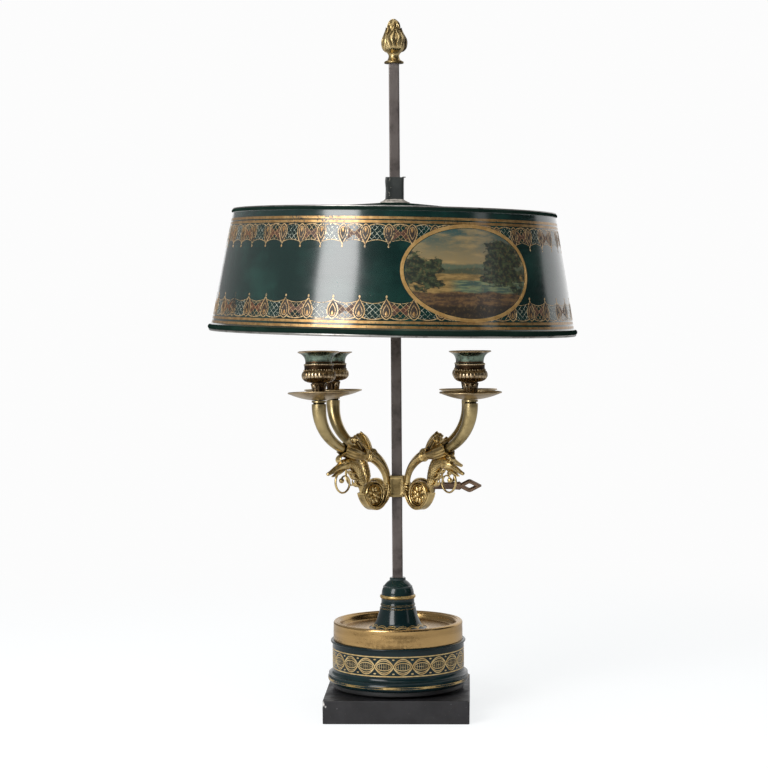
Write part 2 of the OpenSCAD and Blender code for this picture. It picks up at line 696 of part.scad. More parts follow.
module shade_wall() {
    color(TOLE) on_shade() rotate_extrude($fn = 180) difference() {
        union() {
            polygon([
                [shade_bottom_r - tin_t, z_shade_foot], [shade_bottom_r, z_shade_foot],
                [shade_top_r, z_rim], [shade_top_r - tin_t, z_rim]
            ]);
            translate([shade_top_r, z_rim]) circle(top_bead_r, $fn = 32);
            translate([shade_bottom_r, z_shade_foot]) circle(bottom_bead_r, $fn = 32);
        }
        translate([shade_top_r, z_rim]) circle(top_bead_r - bead_wall, $fn = 32);
        translate([shade_bottom_r, z_shade_foot]) circle(bottom_bead_r - bead_wall, $fn = 32);
    }
}

module shade_top_wire() {
    color(IRON) on_shade() rotate_extrude($fn = 180)
        translate([shade_top_r, z_rim]) circle(top_bead_r - bead_wall - wire_gap, $fn = 24);
}

module shade_bottom_wire() {
    color(IRON) on_shade() rotate_extrude($fn = 180)
        translate([shade_bottom_r, z_shade_foot]) circle(bottom_bead_r - bead_wall - wire_gap, $fn = 24);
}

module shade_roof() {
    edge_r = shade_top_r - top_bead_r;
    hole = sleeve_w / 2 + 0.02;
    color(TOLE) on_shade() difference() {
        rotate_extrude($fn = 180) polygon([
            [0, z_roof_top], [sleeve_w / 2, z_roof_top], [edge_r, z_rim], [edge_r, z_rim - tin_t],
            [sleeve_w / 2, z_roof_top - tin_t], [0, z_roof_top - tin_t]
        ]);
        translate([-hole, -hole, z_roof_top - 5]) cube([2 * hole, 2 * hole, 10]);
    }
}

module shade_sleeve() {
    below = 2;
    color("#3c4140") on_shade() translate([0, 0, z_roof_top - below]) difference() {
        translate([-sleeve_w / 2, -sleeve_w / 2, 0]) cube([sleeve_w, sleeve_w, sleeve_h + below]);
        translate([-sleeve_in, -sleeve_in, -1]) cube([2 * sleeve_in, 2 * sleeve_in, sleeve_h + below + 2]);
    }
}

module sleeve_solder() {
    gap = 0.02;
    hole = sleeve_w / 2 + gap;
    fall = roof_rise / (shade_top_r - top_bead_r - sleeve_w / 2);
    foot = fall * (solder_r - sleeve_w / 2);
    color("#b9b7ae") on_shade() translate([0, 0, z_roof_top + gap]) difference() {
        rotate_extrude() polygon([
            [0, 0], [sleeve_w / 2, 0], [solder_r, -foot], [solder_r, 0.4 - foot], [sleeve_w * 0.72, 1], [sleeve_w * 0.6, solder_h], [0, solder_h]
        ]);
        translate([-hole, -hole, -1]) cube([2 * hole, 2 * hole, 10]);
    }
}

module sleeve_springs() {
    bend_r = (spring_half * spring_half + spring_bow * spring_bow) / (2 * spring_bow);
    mid_z = z_sleeve_top - sleeve_h / 2;
    color(IRON) on_shade() translate([0, 0, mid_z]) {
        for (a = [0:90:270]) rotate([0, 0, a]) intersection() {
            translate([bar_w / 2 + spring_gap + bend_r, 0, 0]) rotate([90, 0, 0]) difference() {
                cylinder(h = spring_w, r = bend_r, center = true);
                cylinder(h = spring_w + 1, r = bend_r - spring_t, center = true);
            }
            translate([0, -spring_w / 2, -spring_half]) cube([sleeve_in - 0.02, spring_w, 2 * spring_half]);
        }
        translate([sleeve_in - spring_t - 0.02, -1.5, spring_half - 1])
            cube([spring_t, 3, sleeve_h / 2 - spring_half + 1.02 + spring_t]);
        translate([sleeve_in - spring_t - 0.02, -1.5, sleeve_h / 2 + 0.02]) cube([3, 3, spring_t + 0.4]);
    }
}

plinth();
foot_ring();
drum_wall();
ballast();
brass_dish();
bell_foot();
bar();
bar_washer();
bar_nut();
finial();
collar();
scroll_arm(0);  // scroll_arm_front_right
scroll_arm(1);  // scroll_arm_front_left
scroll_arm(2);  // scroll_arm_rear_left
scroll_arm(3);  // scroll_arm_rear_right
beast(0);  // beast_front_right
beast(1);  // beast_front_left
beast(2);  // beast_rear_left
beast(3);  // beast_rear_right
leaf_cup(0);  // leaf_cup_front_right
leaf_cup(1);  // leaf_cup_front_left
leaf_cup(2);  // leaf_cup_rear_left
leaf_cup(3);  // leaf_cup_rear_right
horn(0);  // horn_front_right
horn(1);  // horn_front_left
horn(2);  // horn_rear_left
horn(3);  // horn_rear_right
drip_pan(0);  // drip_pan_front_right
drip_pan(1);  // drip_pan_front_left
drip_pan(2);  // drip_pan_rear_left
drip_pan(3);  // drip_pan_rear_right
socket(0);  // socket_front_right
socket(1);  // socket_front_left
socket(2);  // socket_rear_left
socket(3);  // socket_rear_right
socket_studs();
pressure_pad();
key();
shade_wall();
shade_top_wire();
shade_bottom_wire();
shade_roof();
shade_sleeve();
sleeve_solder();
sleeve_springs();
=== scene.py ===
"""Visual model of a four-light bouillotte lamp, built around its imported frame.

The lamp is made the way its maker made it: a honed slate plinth, a painted tin drum with a spun
brass dish, a painted bell foot, a wrought bar with a gilt finial, a chased candle bracket and a
painted tin shade. Lengths inside the classes are millimetres, and a mesh is turned to metres
when it is finished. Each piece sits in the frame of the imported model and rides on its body.
"""

from __future__ import annotations

import json
import logging
import math
from dataclasses import dataclass, field
from enum import Enum
from typing import Any, Callable, Mapping, Sequence

import bmesh
import bpy
import numpy as np
from mathutils import Matrix, Vector

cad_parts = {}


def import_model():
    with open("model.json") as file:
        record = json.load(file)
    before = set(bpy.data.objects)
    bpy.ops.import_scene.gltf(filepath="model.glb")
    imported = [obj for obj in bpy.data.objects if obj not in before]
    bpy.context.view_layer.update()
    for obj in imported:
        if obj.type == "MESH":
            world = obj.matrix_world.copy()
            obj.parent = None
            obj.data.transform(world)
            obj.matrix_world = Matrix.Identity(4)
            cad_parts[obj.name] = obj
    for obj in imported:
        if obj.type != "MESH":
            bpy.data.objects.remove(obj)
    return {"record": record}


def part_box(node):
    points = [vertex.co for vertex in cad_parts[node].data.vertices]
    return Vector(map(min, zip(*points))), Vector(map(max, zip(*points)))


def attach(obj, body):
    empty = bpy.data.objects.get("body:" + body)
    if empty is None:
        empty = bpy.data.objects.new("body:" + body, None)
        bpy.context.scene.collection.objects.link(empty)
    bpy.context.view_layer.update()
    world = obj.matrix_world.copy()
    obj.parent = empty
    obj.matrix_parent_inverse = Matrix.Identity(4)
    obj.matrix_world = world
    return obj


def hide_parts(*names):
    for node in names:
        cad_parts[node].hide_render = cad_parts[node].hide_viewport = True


LOG = logging.getLogger("bouillotte_lamp")
MM = 0.001
AXIS_ACROSS = [0, 2, 1]
AXIS_ALONG_X = [2, 0, 1]
Points = np.ndarray
Curve = np.ndarray
Relief = Callable[[Points, Points], Points]


# ---- Shapes ----


def bezier(control: Sequence[Sequence[float]], steps: int) -> Curve:
    """Points of a cubic curve, evenly spaced in its parameter.

    Formula: the four Bernstein weights of t times the four control points.

    Args:
        control: Four control points of any dimension.
        steps: Number of spans.
    Returns:
        An array of steps + 1 points.
    """
    t = np.linspace(0.0, 1.0, steps + 1)[:, None]
    p = np.asarray(control, float)
    return (1 - t) ** 3 * p[0] + 3 * (1 - t) ** 2 * t * p[1] + 3 * (1 - t) * t**2 * p[2] + t**3 * p[3]


def chain(*curves: Any) -> Curve:
    """Joins curves end to end and drops the doubled points where they meet.

    Args:
        curves: Point lists whose ends meet.
    Returns:
        One array of points.
    """
    points = np.concatenate([np.asarray(c, float).reshape(len(c), -1) for c in curves])
    step = np.linalg.norm(np.diff(points, axis=0), axis=1)
    return points[np.concatenate([[True], step > 1e-6])]


def arc(centre: Sequence[float], radii: Sequence[float], start: float, end: float, steps: int) -> Curve:
    """Part of an oval in the plane: centre plus the radii times cosine and sine of the angle.

    Args:
        centre: Middle of the oval.
        radii: Half width and half height.
        start: First angle in degrees.
        end: Last angle in degrees.
        steps: Number of spans.
    Returns:
        An array of steps + 1 points.
    """
    angle = np.radians(np.linspace(start, end, steps + 1))
    return np.stack([centre[0] + radii[0] * np.cos(angle), centre[1] + radii[1] * np.sin(angle)], 1)


def softened(corners: Sequence[Sequence[float]], radius: float, steps: int = 3) -> Curve:
    """An open outline with its inner corners rounded.

    Formula: each corner gives way to a quadratic curve that starts and ends one radius before
    and after it, or a third of the shorter side where that is less.

    Args:
        corners: The sharp outline.
        radius: Size of the rounding.
        steps: Spans of each rounding.
    Returns:
        The points of the rounded outline.
    """
    p = np.asarray(corners, float)
    out = [p[:1]]
    t = np.linspace(0.0, 1.0, steps + 1)[:, None]
    for before, here, after in zip(p[:-2], p[1:-1], p[2:]):
        d0, d1 = before - here, after - here
        l0, l1 = np.linalg.norm(d0), np.linalg.norm(d1)
        a = here + d0 / l0 * min(radius, l0 / 3)
        b = here + d1 / l1 * min(radius, l1 / 3)
        out.append((1 - t) ** 2 * a + 2 * (1 - t) * t * here + t**2 * b)
    out.append(p[-1:])
    return np.concatenate(out)


def directions(path: Curve, closed: bool = False) -> Curve:
    """Unit directions along a path, from the difference of each point's neighbours."""
    if closed:
        d = np.roll(path, -1, 0) - np.roll(path, 1, 0)
    else:
        d = np.gradient(path, axis=0)
    return d / np.maximum(np.linalg.norm(d, axis=1, keepdims=True), 1e-9)


def even(path: Curve, count: int) -> Curve:
    """A path with its points spread evenly along its length."""
    along = np.concatenate([[0.0], np.cumsum(np.linalg.norm(np.diff(path, axis=0), axis=1))])
    wanted = np.linspace(0.0, along[-1], count)
    return np.stack([np.interp(wanted, along, path[:, k]) for k in range(path.shape[1])], 1)


def ease(x: np.ndarray, low: float, high: float) -> np.ndarray:
    """Smooth step from 0 at low to 1 at high: 3t^2 - 2t^3."""
    t = np.clip((x - low) / (high - low), 0.0, 1.0)
    return t * t * (3 - 2 * t)


def ripple(points: Points, size: float, seed: int, waves: int = 9) -> np.ndarray:
    """Smooth noise in about -1 to 1, the same on every run.

    Formula: a sum of cosines whose wave vectors have seeded directions and wavelengths near size.

    Args:
        points: Points in millimetres, in the last axis.
        size: Typical distance from bump to bump in millimetres.
        seed: Picks the pattern.
        waves: Number of cosines.
    Returns:
        One value per point.
    """
    rng = np.random.default_rng(seed)
    vectors = rng.normal(size=(waves, 3))
    vectors *= (2 * np.pi / size * rng.uniform(0.6, 1.5, waves) / np.linalg.norm(vectors, axis=1))[:, None]
    phases = rng.uniform(0, 2 * np.pi, waves)
    return np.cos(points @ vectors.T + phases).sum(-1) / math.sqrt(2 * waves) / 1.2


def revolve(profile: Curve, sides: int, relief: Relief | None = None) -> Points:
    """Turns a profile about the Z axis.

    Formula: each (r, z) of the profile goes to (r cos a, r sin a, z), with r raised by the relief.

    Args:
        profile: Radii and heights.
        sides: Number of steps round the axis.
        relief: Gives the change of radius from angle and height, or None.
    Returns:
        A grid of len(profile) by sides points, which wraps in its second direction.
    """
    angle = np.linspace(0, 2 * np.pi, sides, endpoint=False)[None, :]
    r = np.repeat(profile[:, :1], sides, 1)
    z = np.repeat(profile[:, 1:2], sides, 1)
    if relief is not None:
        r = r + relief(angle, z)
    return np.stack([r * np.cos(angle), r * np.sin(angle), z], -1)


def swept(path: Curve, half_height: Any, half_width: Any, section: Curve) -> Points:
    """Carries a section along a path in the (u, w) plane, with v across it.

    Formula: the section's first number goes along the path's normal times the half height, and
    its second along v times the half width.

    Args:
        path: Points (u, w).
        half_height: Half size in the plane, one number or one per point.
        half_width: Half size across the plane, one number or one per point.
        section: Closed outline in units of the two half sizes.
    Returns:
        A grid of points (u, v, w) that wraps in its second direction.
    """
    d = directions(path)
    normal = np.stack([-d[:, 1], d[:, 0]], 1)
    hh = np.broadcast_to(np.asarray(half_height, float), len(path))[:, None]
    hw = np.broadcast_to(np.asarray(half_width, float), len(path))[:, None]
    u = path[:, :1] + normal[:, :1] * hh * section[:, 0]
    w = path[:, 1:] + normal[:, 1:] * hh * section[:, 0]
    return np.stack([u, hw * section[:, 1] + 0 * u, w], -1)


def swept_each(path: Curve, radius: Any, sections: Points) -> Points:
    """Carries a section that changes along a path in the (u, w) plane, with v across it.

    Args:
        path: Points (u, w).
        radius: Size, one number or one per point.
        sections: Closed outlines in units of the radius, one for each point.
    Returns:
        A grid of points (u, v, w) that wraps in its second direction.
    """
    d = directions(path)
    size = np.broadcast_to(np.asarray(radius, float), len(path))[:, None]
    u = path[:, :1] - d[:, 1:] * size * sections[..., 0]
    w = path[:, 1:] + d[:, :1] * size * sections[..., 0]
    return np.stack([u, size * sections[..., 1], w], -1)


def round_section(count: int) -> Curve:
    """Closed circle of radius 1."""
    return arc((0, 0), (1, 1), 0, 360, count)[:-1]


def lobed_section(count: int, lobes: int, depth: float) -> Curve:
    """Closed circle of radius 1 with shallow lobes."""
    circle = round_section(count)
    angle = np.arctan2(circle[:, 1], circle[:, 0])
    return circle * (1 + depth * np.cos(lobes * angle))[:, None]


def rounded_square(power: float, count: int) -> Curve:
    """Closed outline of a superellipse |x|^p + |y|^p = 1: round at power 2, square at 8."""
    angle = np.linspace(0, 2 * np.pi, count, endpoint=False)
    c, s = np.cos(angle), np.sin(angle)
    scale = (np.abs(c) ** power + np.abs(s) ** power) ** (-1 / power)
    return np.stack([c * scale, s * scale], 1)


def square_ring(half: np.ndarray, corner: np.ndarray, steps: int) -> Points:
    """Rings of squares with round corners, one for each half side.

    Formula: the ray at each angle meets either the straight side or the arc at the corner.
    The angles crowd towards the corners, where the outline bends.

    Args:
        half: Half side of each ring.
        corner: Corner radius of each ring.
        steps: Spans on each side.
    Returns:
        A grid of len(half) by 4 * steps points (x, y).
    """
    t = np.sin(np.pi / 2 * (np.arange(steps) / steps * 2 - 1))
    side = np.arctan(t)
    angle = np.concatenate([side + k * np.pi / 2 for k in range(4)])
    x, y = np.abs(np.cos(angle)), np.abs(np.sin(angle))
    h, c = half[:, None], np.minimum(corner, half)[:, None]
    straight = h / np.maximum(x, y)
    dot = (x + y) * (h - c)
    inside = np.maximum(dot**2 - 2 * (h - c) ** 2 + c**2, 0.0)
    bend = dot + np.sqrt(inside)
    radius = np.where(straight * np.minimum(x, y) > h - c, bend, straight)
    return np.stack([radius * np.cos(angle), radius * np.sin(angle)], -1)


def square_stack(half: np.ndarray, z: np.ndarray, corner: np.ndarray, steps: int) -> Points:
    """Rings of rounded squares, each at its height: a grid of points (x, y, z).

    Args:
        half: Half side of each ring.
        z: Height of each ring.
        corner: Corner radius of each ring.
        steps: Spans on each side.
    Returns:
        A grid of len(half) by 4 * steps points.
    """
    ring = square_ring(half, corner, steps)
    return np.concatenate([ring, np.repeat(z[:, None, None], ring.shape[1], 1)], -1)


def ball(radius: float, half_height: float, spans: int, sides: int) -> Points:
    """Grid of a round or flattened ball about the Z axis."""
    return revolve(arc((0, 0), (radius, half_height), -90, 90, spans), sides)


def turned(points: Points, degrees: float, axis: str, about: Sequence[float] = (0.0, 0.0, 0.0)) -> Points:
    """Points turned by the right-hand rule about an axis through a point."""
    matrix = np.array(Matrix.Rotation(math.radians(degrees), 3, axis))
    centre = np.asarray(about, float)
    return (points - centre) @ matrix.T + centre


# ---- Meshes ----


class Solid:
    """Collects grids of points in millimetres and turns them into one Blender piece."""

    def __init__(self, name: str) -> None:
        """Starts an empty piece.

        Args:
            name: Name of the piece.
        """
        self.name = name
        self.points: list[np.ndarray] = []
        self.faces: list[np.ndarray] = []
        self.slots: list[np.ndarray] = []
        self.wear: list[np.ndarray] = []
        self.uv: list[np.ndarray] = []
        self.count = 0

    def grid(
        self,
        points: Points,
        closed: bool = False,
        slot: int = 0,
        wear: Any = 0.0,
        uv: Any = 0.0,
        keep: np.ndarray | None = None,
    ) -> "Solid":
        """Adds one grid, or a stack of grids, of points as quads. Each row closes on itself.

        Args:
            points: Array (nu, nv, 3), or (k, nu, nv, 3) for k equal grids.
            closed: Joins the last row to the first.
            slot: Number of the finish, one for all faces or one per row of quads.
            wear: Value of the wear attribute, one number or one per point.
            uv: Place on the pattern, one pair or one pair per point.
            keep: Which quads stay, one value for each quad of the stack.
        Returns:
            The solid itself.
        """
        stack = points if points.ndim == 4 else points[None]
        k, nu, nv, _ = stack.shape
        i = np.arange(nu if closed else nu - 1)[:, None]
        j = np.arange(nv)[None, :]
        i1, j1 = (i + 1) % nu, (j + 1) % nv
        quads = np.stack([i * nv + j, i * nv + j1, i1 * nv + j1, i1 * nv + j], -1)
        offset = np.arange(k).reshape(k, 1, 1, 1) * nu * nv + self.count
        which = np.broadcast_to(np.reshape(slot, (-1, 1)), quads.shape[:2])
        which = np.broadcast_to(which, (k,) + quads.shape[:2])
        quads = quads[None] + offset
        if keep is not None:
            quads, which = quads[keep], which[keep]
        self.points.append(stack.reshape(-1, 3))
        self.faces.append(quads.reshape(-1, 4))
        self.slots.append(which.reshape(-1))
        self.wear.append(np.broadcast_to(wear, stack.shape[:3]).reshape(-1))
        self.uv.append(np.broadcast_to(uv, stack.shape[:3] + (2,)).reshape(-1, 2))
        self.count += k * nu * nv
        return self

    def tube(self, grid: Points, wear: Any = 0.0, **options: Any) -> "Solid":
        """Adds a tube that wraps round its section, with each end drawn together to a point.

        Args:
            grid: Array (nu, nv, 3), or a stack of them, that wraps in its last direction.
            wear: Value of the wear attribute, one number or one per point.
            options: Passed on to grid.
        Returns:
            The solid itself.
        """
        first = np.repeat(grid[..., :1, :, :].mean(-2, keepdims=True), grid.shape[-2], -2)
        last = np.repeat(grid[..., -1:, :, :].mean(-2, keepdims=True), grid.shape[-2], -2)
        if np.ndim(wear) >= 2:
            wear = np.concatenate([wear[..., :1, :], wear, wear[..., -1:, :]], -2)
        return self.grid(np.concatenate([first, grid, last], -3), wear=wear, **options)

    def placed(self, move: Callable[[Points], Points]) -> "Solid":
        """Moves everything added so far with a function of the points."""
        self.points = [move(p) for p in self.points]
        return self

    def finish(
        self,
        materials: Sequence[bpy.types.Material],
        slot_name: str,
        body: str,
        nodes: Sequence[str] = (),
        sharp: float = 38.0,
        weld: float = 0.002,
    ) -> bpy.types.Object:
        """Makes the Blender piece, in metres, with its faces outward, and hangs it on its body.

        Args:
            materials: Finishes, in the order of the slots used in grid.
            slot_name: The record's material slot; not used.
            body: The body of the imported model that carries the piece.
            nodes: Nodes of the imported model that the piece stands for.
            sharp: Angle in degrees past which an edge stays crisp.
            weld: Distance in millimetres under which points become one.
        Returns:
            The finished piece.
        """
        points, faces = np.concatenate(self.points) * MM, np.concatenate(self.faces)
        mesh = bpy.data.meshes.new(self.name)
        mesh.from_pydata(points.tolist(), [], faces.tolist())
        mesh.polygons.foreach_set("material_index", np.concatenate(self.slots).astype(np.int32))
        wear = mesh.attributes.new("wear", "FLOAT", "POINT")
        wear.data.foreach_set("value", np.concatenate(self.wear).astype(np.float32))
        layer = mesh.uv_layers.new(name="pattern")
        places = np.concatenate(self.uv)[faces.reshape(-1)]
        layer.data.foreach_set("uv", places.astype(np.float32).reshape(-1))
        bm = bmesh.new()
        bm.from_mesh(mesh)
        bmesh.ops.remove_doubles(bm, verts=bm.verts, dist=weld * MM)
        bmesh.ops.dissolve_degenerate(bm, edges=bm.edges, dist=weld * MM / 2)
        bmesh.ops.delete(bm, geom=[v for v in bm.verts if not v.link_faces], context="VERTS")
        bmesh.ops.recalc_face_normals(bm, faces=bm.faces)
        bm.to_mesh(mesh)
        bm.free()
        for material in materials:
            mesh.materials.append(material)
        mesh.shade_smooth()
        mesh.set_sharp_from_angle(angle=math.radians(sharp))
        mark_hollows(mesh)
        piece = in_scene(self.name, mesh)
        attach(piece, body)
        if nodes:
            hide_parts(*nodes)
        LOG.info("%s: %d faces on %s", self.name, len(mesh.polygons), body)
        return piece


def in_scene(name: str, data: bpy.types.ID) -> bpy.types.Object:
    """A new object of the scene that shows a mesh, a light or a camera."""
    thing = bpy.data.objects.new(name, data)
    bpy.context.scene.collection.objects.link(thing)
    return thing


def mark_hollows(mesh: bpy.types.Mesh, passes: int = 2) -> None:
    """Writes how hollow the surface is at each point, as the attribute "hollow".

    Formula: the mean of a point's neighbours less the point, along its normal, over the mean
    length of its edges. 0.5 is flat, more is a hollow and less is a ridge.

    Args:
        mesh: The mesh to mark.
        passes: How often the value is averaged over the neighbours.
    """
    count = len(mesh.vertices)
    co, normal = np.empty(count * 3, np.float32), np.empty(count * 3, np.float32)
    mesh.vertices.foreach_get("co", co)
    mesh.vertices.foreach_get("normal", normal)
    co, normal = co.reshape(-1, 3), normal.reshape(-1, 3)
    ends = np.empty(len(mesh.edges) * 2, np.int32)
    mesh.edges.foreach_get("vertices", ends)
    a, b = ends.reshape(-1, 2).T
    degree = np.maximum(np.bincount(a, minlength=count) + np.bincount(b, minlength=count), 1)

    def spread(values: np.ndarray) -> np.ndarray:
        """Mean of each point's neighbours."""
        total = np.bincount(a, values[b], count) + np.bincount(b, values[a], count)
        return total / degree

    mean = np.stack([spread(co[:, k]) for k in range(3)], 1)
    length = np.linalg.norm(co[a] - co[b], axis=1)
    edge = (np.bincount(a, length, count) + np.bincount(b, length, count)) / degree
    bend = ((mean - co) * normal).sum(1) / np.maximum(edge, 1e-7)
    for _ in range(passes):
        bend = 0.5 * bend + 0.5 * spread(bend)
    layer = mesh.attributes.new("hollow", "FLOAT", "POINT")
    layer.data.foreach_set("value", np.clip(0.5 + 1.6 * bend, 0, 1).astype(np.float32))


# ---- Finishes ----


def colour(code: str) -> tuple[float, float, float, float]:
    """Linear colour of an sRGB hex value."""
    raw = [int(code.lstrip("#")[k : k + 2], 16) / 255 for k in (0, 2, 4)]
    linear = [c / 12.92 if c <= 0.04045 else ((c + 0.055) / 1.055) ** 2.4 for c in raw]
    return (linear[0], linear[1], linear[2], 1.0)


def per_mm(size: float) -> float:
    """Noise scale on Object coordinates, which are metres, for a feature of size millimetres."""
    return 1000.0 / size


# Kinds of shader node, with what each is set to after the colon.
PLUS, LESS, TIMES = "Math:ADD", "Math:SUBTRACT", "Math:MULTIPLY"
BAND, BLEND = "MapRange:SMOOTHSTEP", "Mix:RGBA"


class Graph:
    """A node tree of a material or the world, built from the coordinates to the output."""

    SETTING = {
        "Math": "operation",
        "VectorMath": "operation",
        "MapRange": "interpolation_type",
        "Mix": "data_type",
        "Attribute": "attribute_name",
        "UVMap": "uv_map",
    }

    def __init__(self, name: str, world: bpy.types.World | None = None) -> None:
        """Starts an empty tree.

        Args:
            name: Name of the real material.
            world: The world whose tree it is, or None for a new material's.
        """
        self.material = world or bpy.data.materials.new(name)
        self.material.use_nodes = True
        self.tree = self.material.node_tree
        self.tree.nodes.clear()
        self.place = self.add("TexCoord").outputs["Object"]

    def add(self, kind: str, *values: Any, **inputs: Any) -> bpy.types.Node:
        """Adds one shader node with its setting and its inputs.

        Args:
            kind: Node type without its ShaderNode prefix, and after a colon what it is set to.
            values: Values, hex colours or links of the inputs in use, in their order.
            inputs: More of them by socket name, with spaces as underscores.
        Returns:
            The node, which stands for its first output where another node takes it.
        """
        kind, _, choice = kind.partition(":")
        node = self.tree.nodes.new("ShaderNode" + kind)
        if choice:
            setattr(node, self.SETTING[kind], choice)
        used = [socket for socket in node.inputs if socket.enabled]
        named = [(node.inputs[name.replace("_", " ")], value) for name, value in inputs.items()]
        for socket, value in [*zip(used, values), *named]:
            if isinstance(value, bpy.types.Node):
                value = next(output for output in value.outputs if output.enabled)
            if isinstance(value, bpy.types.NodeSocket):
                self.tree.links.new(value, socket)
            else:
                socket.default_value = colour(value) if isinstance(value, str) else value
        return node

    def noise(self, size: float, detail: float = 3.0, stretch: Sequence[float] = (1, 1, 1)) -> Any:
        """Noise with features of a size in millimetres, stretched by a factor along X, Y and Z."""
        place = self.add("Mapping", Vector=self.place, Scale=[1 / s for s in stretch])
        return self.add("TexNoise", place, per_mm(size), detail, 0.6)

    def surface(self, **inputs: Any) -> bpy.types.Node:
        """The material's Principled shader, joined to the output."""
        shader = self.add("BsdfPrincipled", **inputs)
        self.add("OutputMaterial", Surface=shader)
        return shader


@dataclass(frozen=True)
class OldMetal:
    """Copper alloy or iron, cast or spun, polished on the ridges and dirty in the hollows."""

    name: str
    bright: str
    body: str
    dark: str
    rough_low: float = 0.28
    rough_high: float = 0.5
    patch: float = 14.0
    grain: float = 0.6
    grain_depth: float = 0.02
    stretch: tuple[float, float, float] = (1.0, 1.0, 1.0)
    hollow_from: float = 0.5
    hollow_to: float = 0.68
    stain: float = 0.6
    metal: float = 1.0

    def material(self) -> bpy.types.Material:
        """Builds the finish: three tones by patches, ridges and hollows, and a cast grain.

        Returns:
            The Blender material.
        """
        g = Graph(self.name)
        patches = g.noise(self.patch, 4.0, self.stretch)
        specks = g.noise(self.grain * 3, 2.0)
        hollow = g.add("Attribute:hollow").outputs["Fac"]
        ridge = g.add(BAND, hollow, 0.5, 0.36)
        tone = g.add(PLUS, g.add(TIMES, g.add(BAND, patches, 0.34, 0.62), 0.55), g.add(TIMES, ridge, 0.6))
        skin = g.add(BLEND, g.add("Clamp", tone), self.body, self.bright)
        dirt = g.add(BAND, hollow, self.hollow_from, self.hollow_to)
        stains = g.add(TIMES, g.add(BAND, patches, 0.5, 0.32), g.add(BAND, specks, 0.35, 0.62))
        dull = g.add("Clamp", g.add(PLUS, dirt, g.add(TIMES, stains, self.stain)))
        skin = g.add(BLEND, dull, skin, self.dark)
        matt = g.add(PLUS, g.add(TIMES, specks, 0.4), dull)
        rough = g.add(BAND, matt, 0.1, 1.0, self.rough_low, self.rough_high)
        grain = g.noise(self.grain, 3.0, self.stretch)
        fine = g.add("Bump", Height=grain, Distance=self.grain_depth * MM)
        g.surface(Base_Color=skin, Metallic=self.metal, Roughness=rough, Normal=fine)
        return g.material


@dataclass(frozen=True)
class ToleLacquer:
    """Baked oil lacquer on tinned sheet: near-black green under a clear coat, brushed."""

    name: str = "tole_lacquer"
    deep: str = "#0a211e"
    worn: str = "#15342e"
    bare: str = "#8f8c80"
    streak: float = 3.2
    rough: tuple[float, float] = (0.14, 0.24)
    coat: float = 0.9
    sheen_level: float = 0.25

    def material(self) -> bpy.types.Material:
        """Builds the finish: level brush streaks in the coat, fine scratches and small chips.

        Returns:
            The Blender material.
        """
        g = Graph(self.name)
        cloud = g.noise(34.0, 4.0)
        streaks = g.noise(self.streak, 4.0, (14, 14, 1))
        specks = g.noise(1.5, 2.0)
        skin = g.add(BLEND, g.add(BAND, cloud, 0.42, 0.75), self.deep, self.worn)
        wear = g.add("Attribute:wear").outputs["Fac"]
        chips = g.add(BAND, g.add(PLUS, specks, g.add(TIMES, wear, 0.35)), 0.77, 0.8)
        skin = g.add(BLEND, chips, skin, self.bare)
        matt = g.add(PLUS, g.add(TIMES, streaks, 0.7), g.add(TIMES, cloud, 0.4))
        rough = g.add(BAND, matt, 0.35, 0.75, *self.rough)
        wave = g.add("Bump", Height=streaks, Distance=0.05 * MM)
        fine = g.add("Bump", Height=g.noise(0.9, 2.0, (6, 6, 1)), Distance=0.008 * MM, Normal=wave)
        g.surface(
            Base_Color=skin,
            Roughness=rough,
            IOR=1.5,
            Specular_IOR_Level=self.sheen_level,
            Coat_Weight=self.coat,
            Coat_Roughness=0.14,
            Normal=fine,
            Coat_Normal=wave,
        )
        return g.material


@dataclass(frozen=True)
class ShadeLining:
    """Cream oil paint inside the shade, matte, with broad brown smoke stains."""

    name: str = "cream_shade_lining"

    def material(self) -> bpy.types.Material:
        """Builds the finish: cream with broad smoke stains and brush marks.

        Returns:
            The Blender material.
        """
        g = Graph(self.name)
        skin = g.add(BLEND, g.add(BAND, g.noise(60.0, 4.0), 0.35, 0.7), "#cfc6ae", "#ada083")
        brushed = g.add("Bump", Height=g.noise(2.0, 3.0, (10, 10, 1)), Distance=0.04 * MM)
        g.surface(Base_Color=skin, Roughness=0.62, Normal=brushed)
        return g.material


@dataclass(frozen=True)
class GoldPaint:
    """Shell gold brushed on lacquer: a broken metal film that rubs away to the green below."""

    name: str
    gold: str = "#d7ab66"
    pale: str = "#e9cf9c"
    ground: str = "#14231f"
    rubbed: float = 0.36
    rough: float = 0.36
    metal: float = 0.85
    coat: float = 0.0

    def material(self) -> bpy.types.Material:
        """Builds the finish: two golds, with worn spots down to the lacquer.

        Returns:
            The Blender material.
        """
        g = Graph(self.name)
        skin = g.add(BLEND, g.add(BAND, g.noise(6.0, 3.0), 0.35, 0.65), self.gold, self.pale)
        wear = g.add("Attribute:wear").outputs["Fac"]
        lost = g.add(PLUS, g.noise(1.6, 4.0), g.add(TIMES, wear, 0.3))
        gone = g.add(BAND, lost, 1.0 - self.rubbed, 1.08 - self.rubbed)
        skin = g.add(BLEND, gone, skin, self.ground)
        metal = g.add(BAND, gone, 0.0, 1.0, self.metal, 0.0)
        g.surface(
            Base_Color=skin,
            Metallic=metal,
            Roughness=self.rough,
            Coat_Weight=self.coat,
            Coat_Roughness=0.12,
            Normal=g.add("Bump", Height=g.noise(0.8, 2.0), Distance=0.015 * MM),
        )
        return g.material


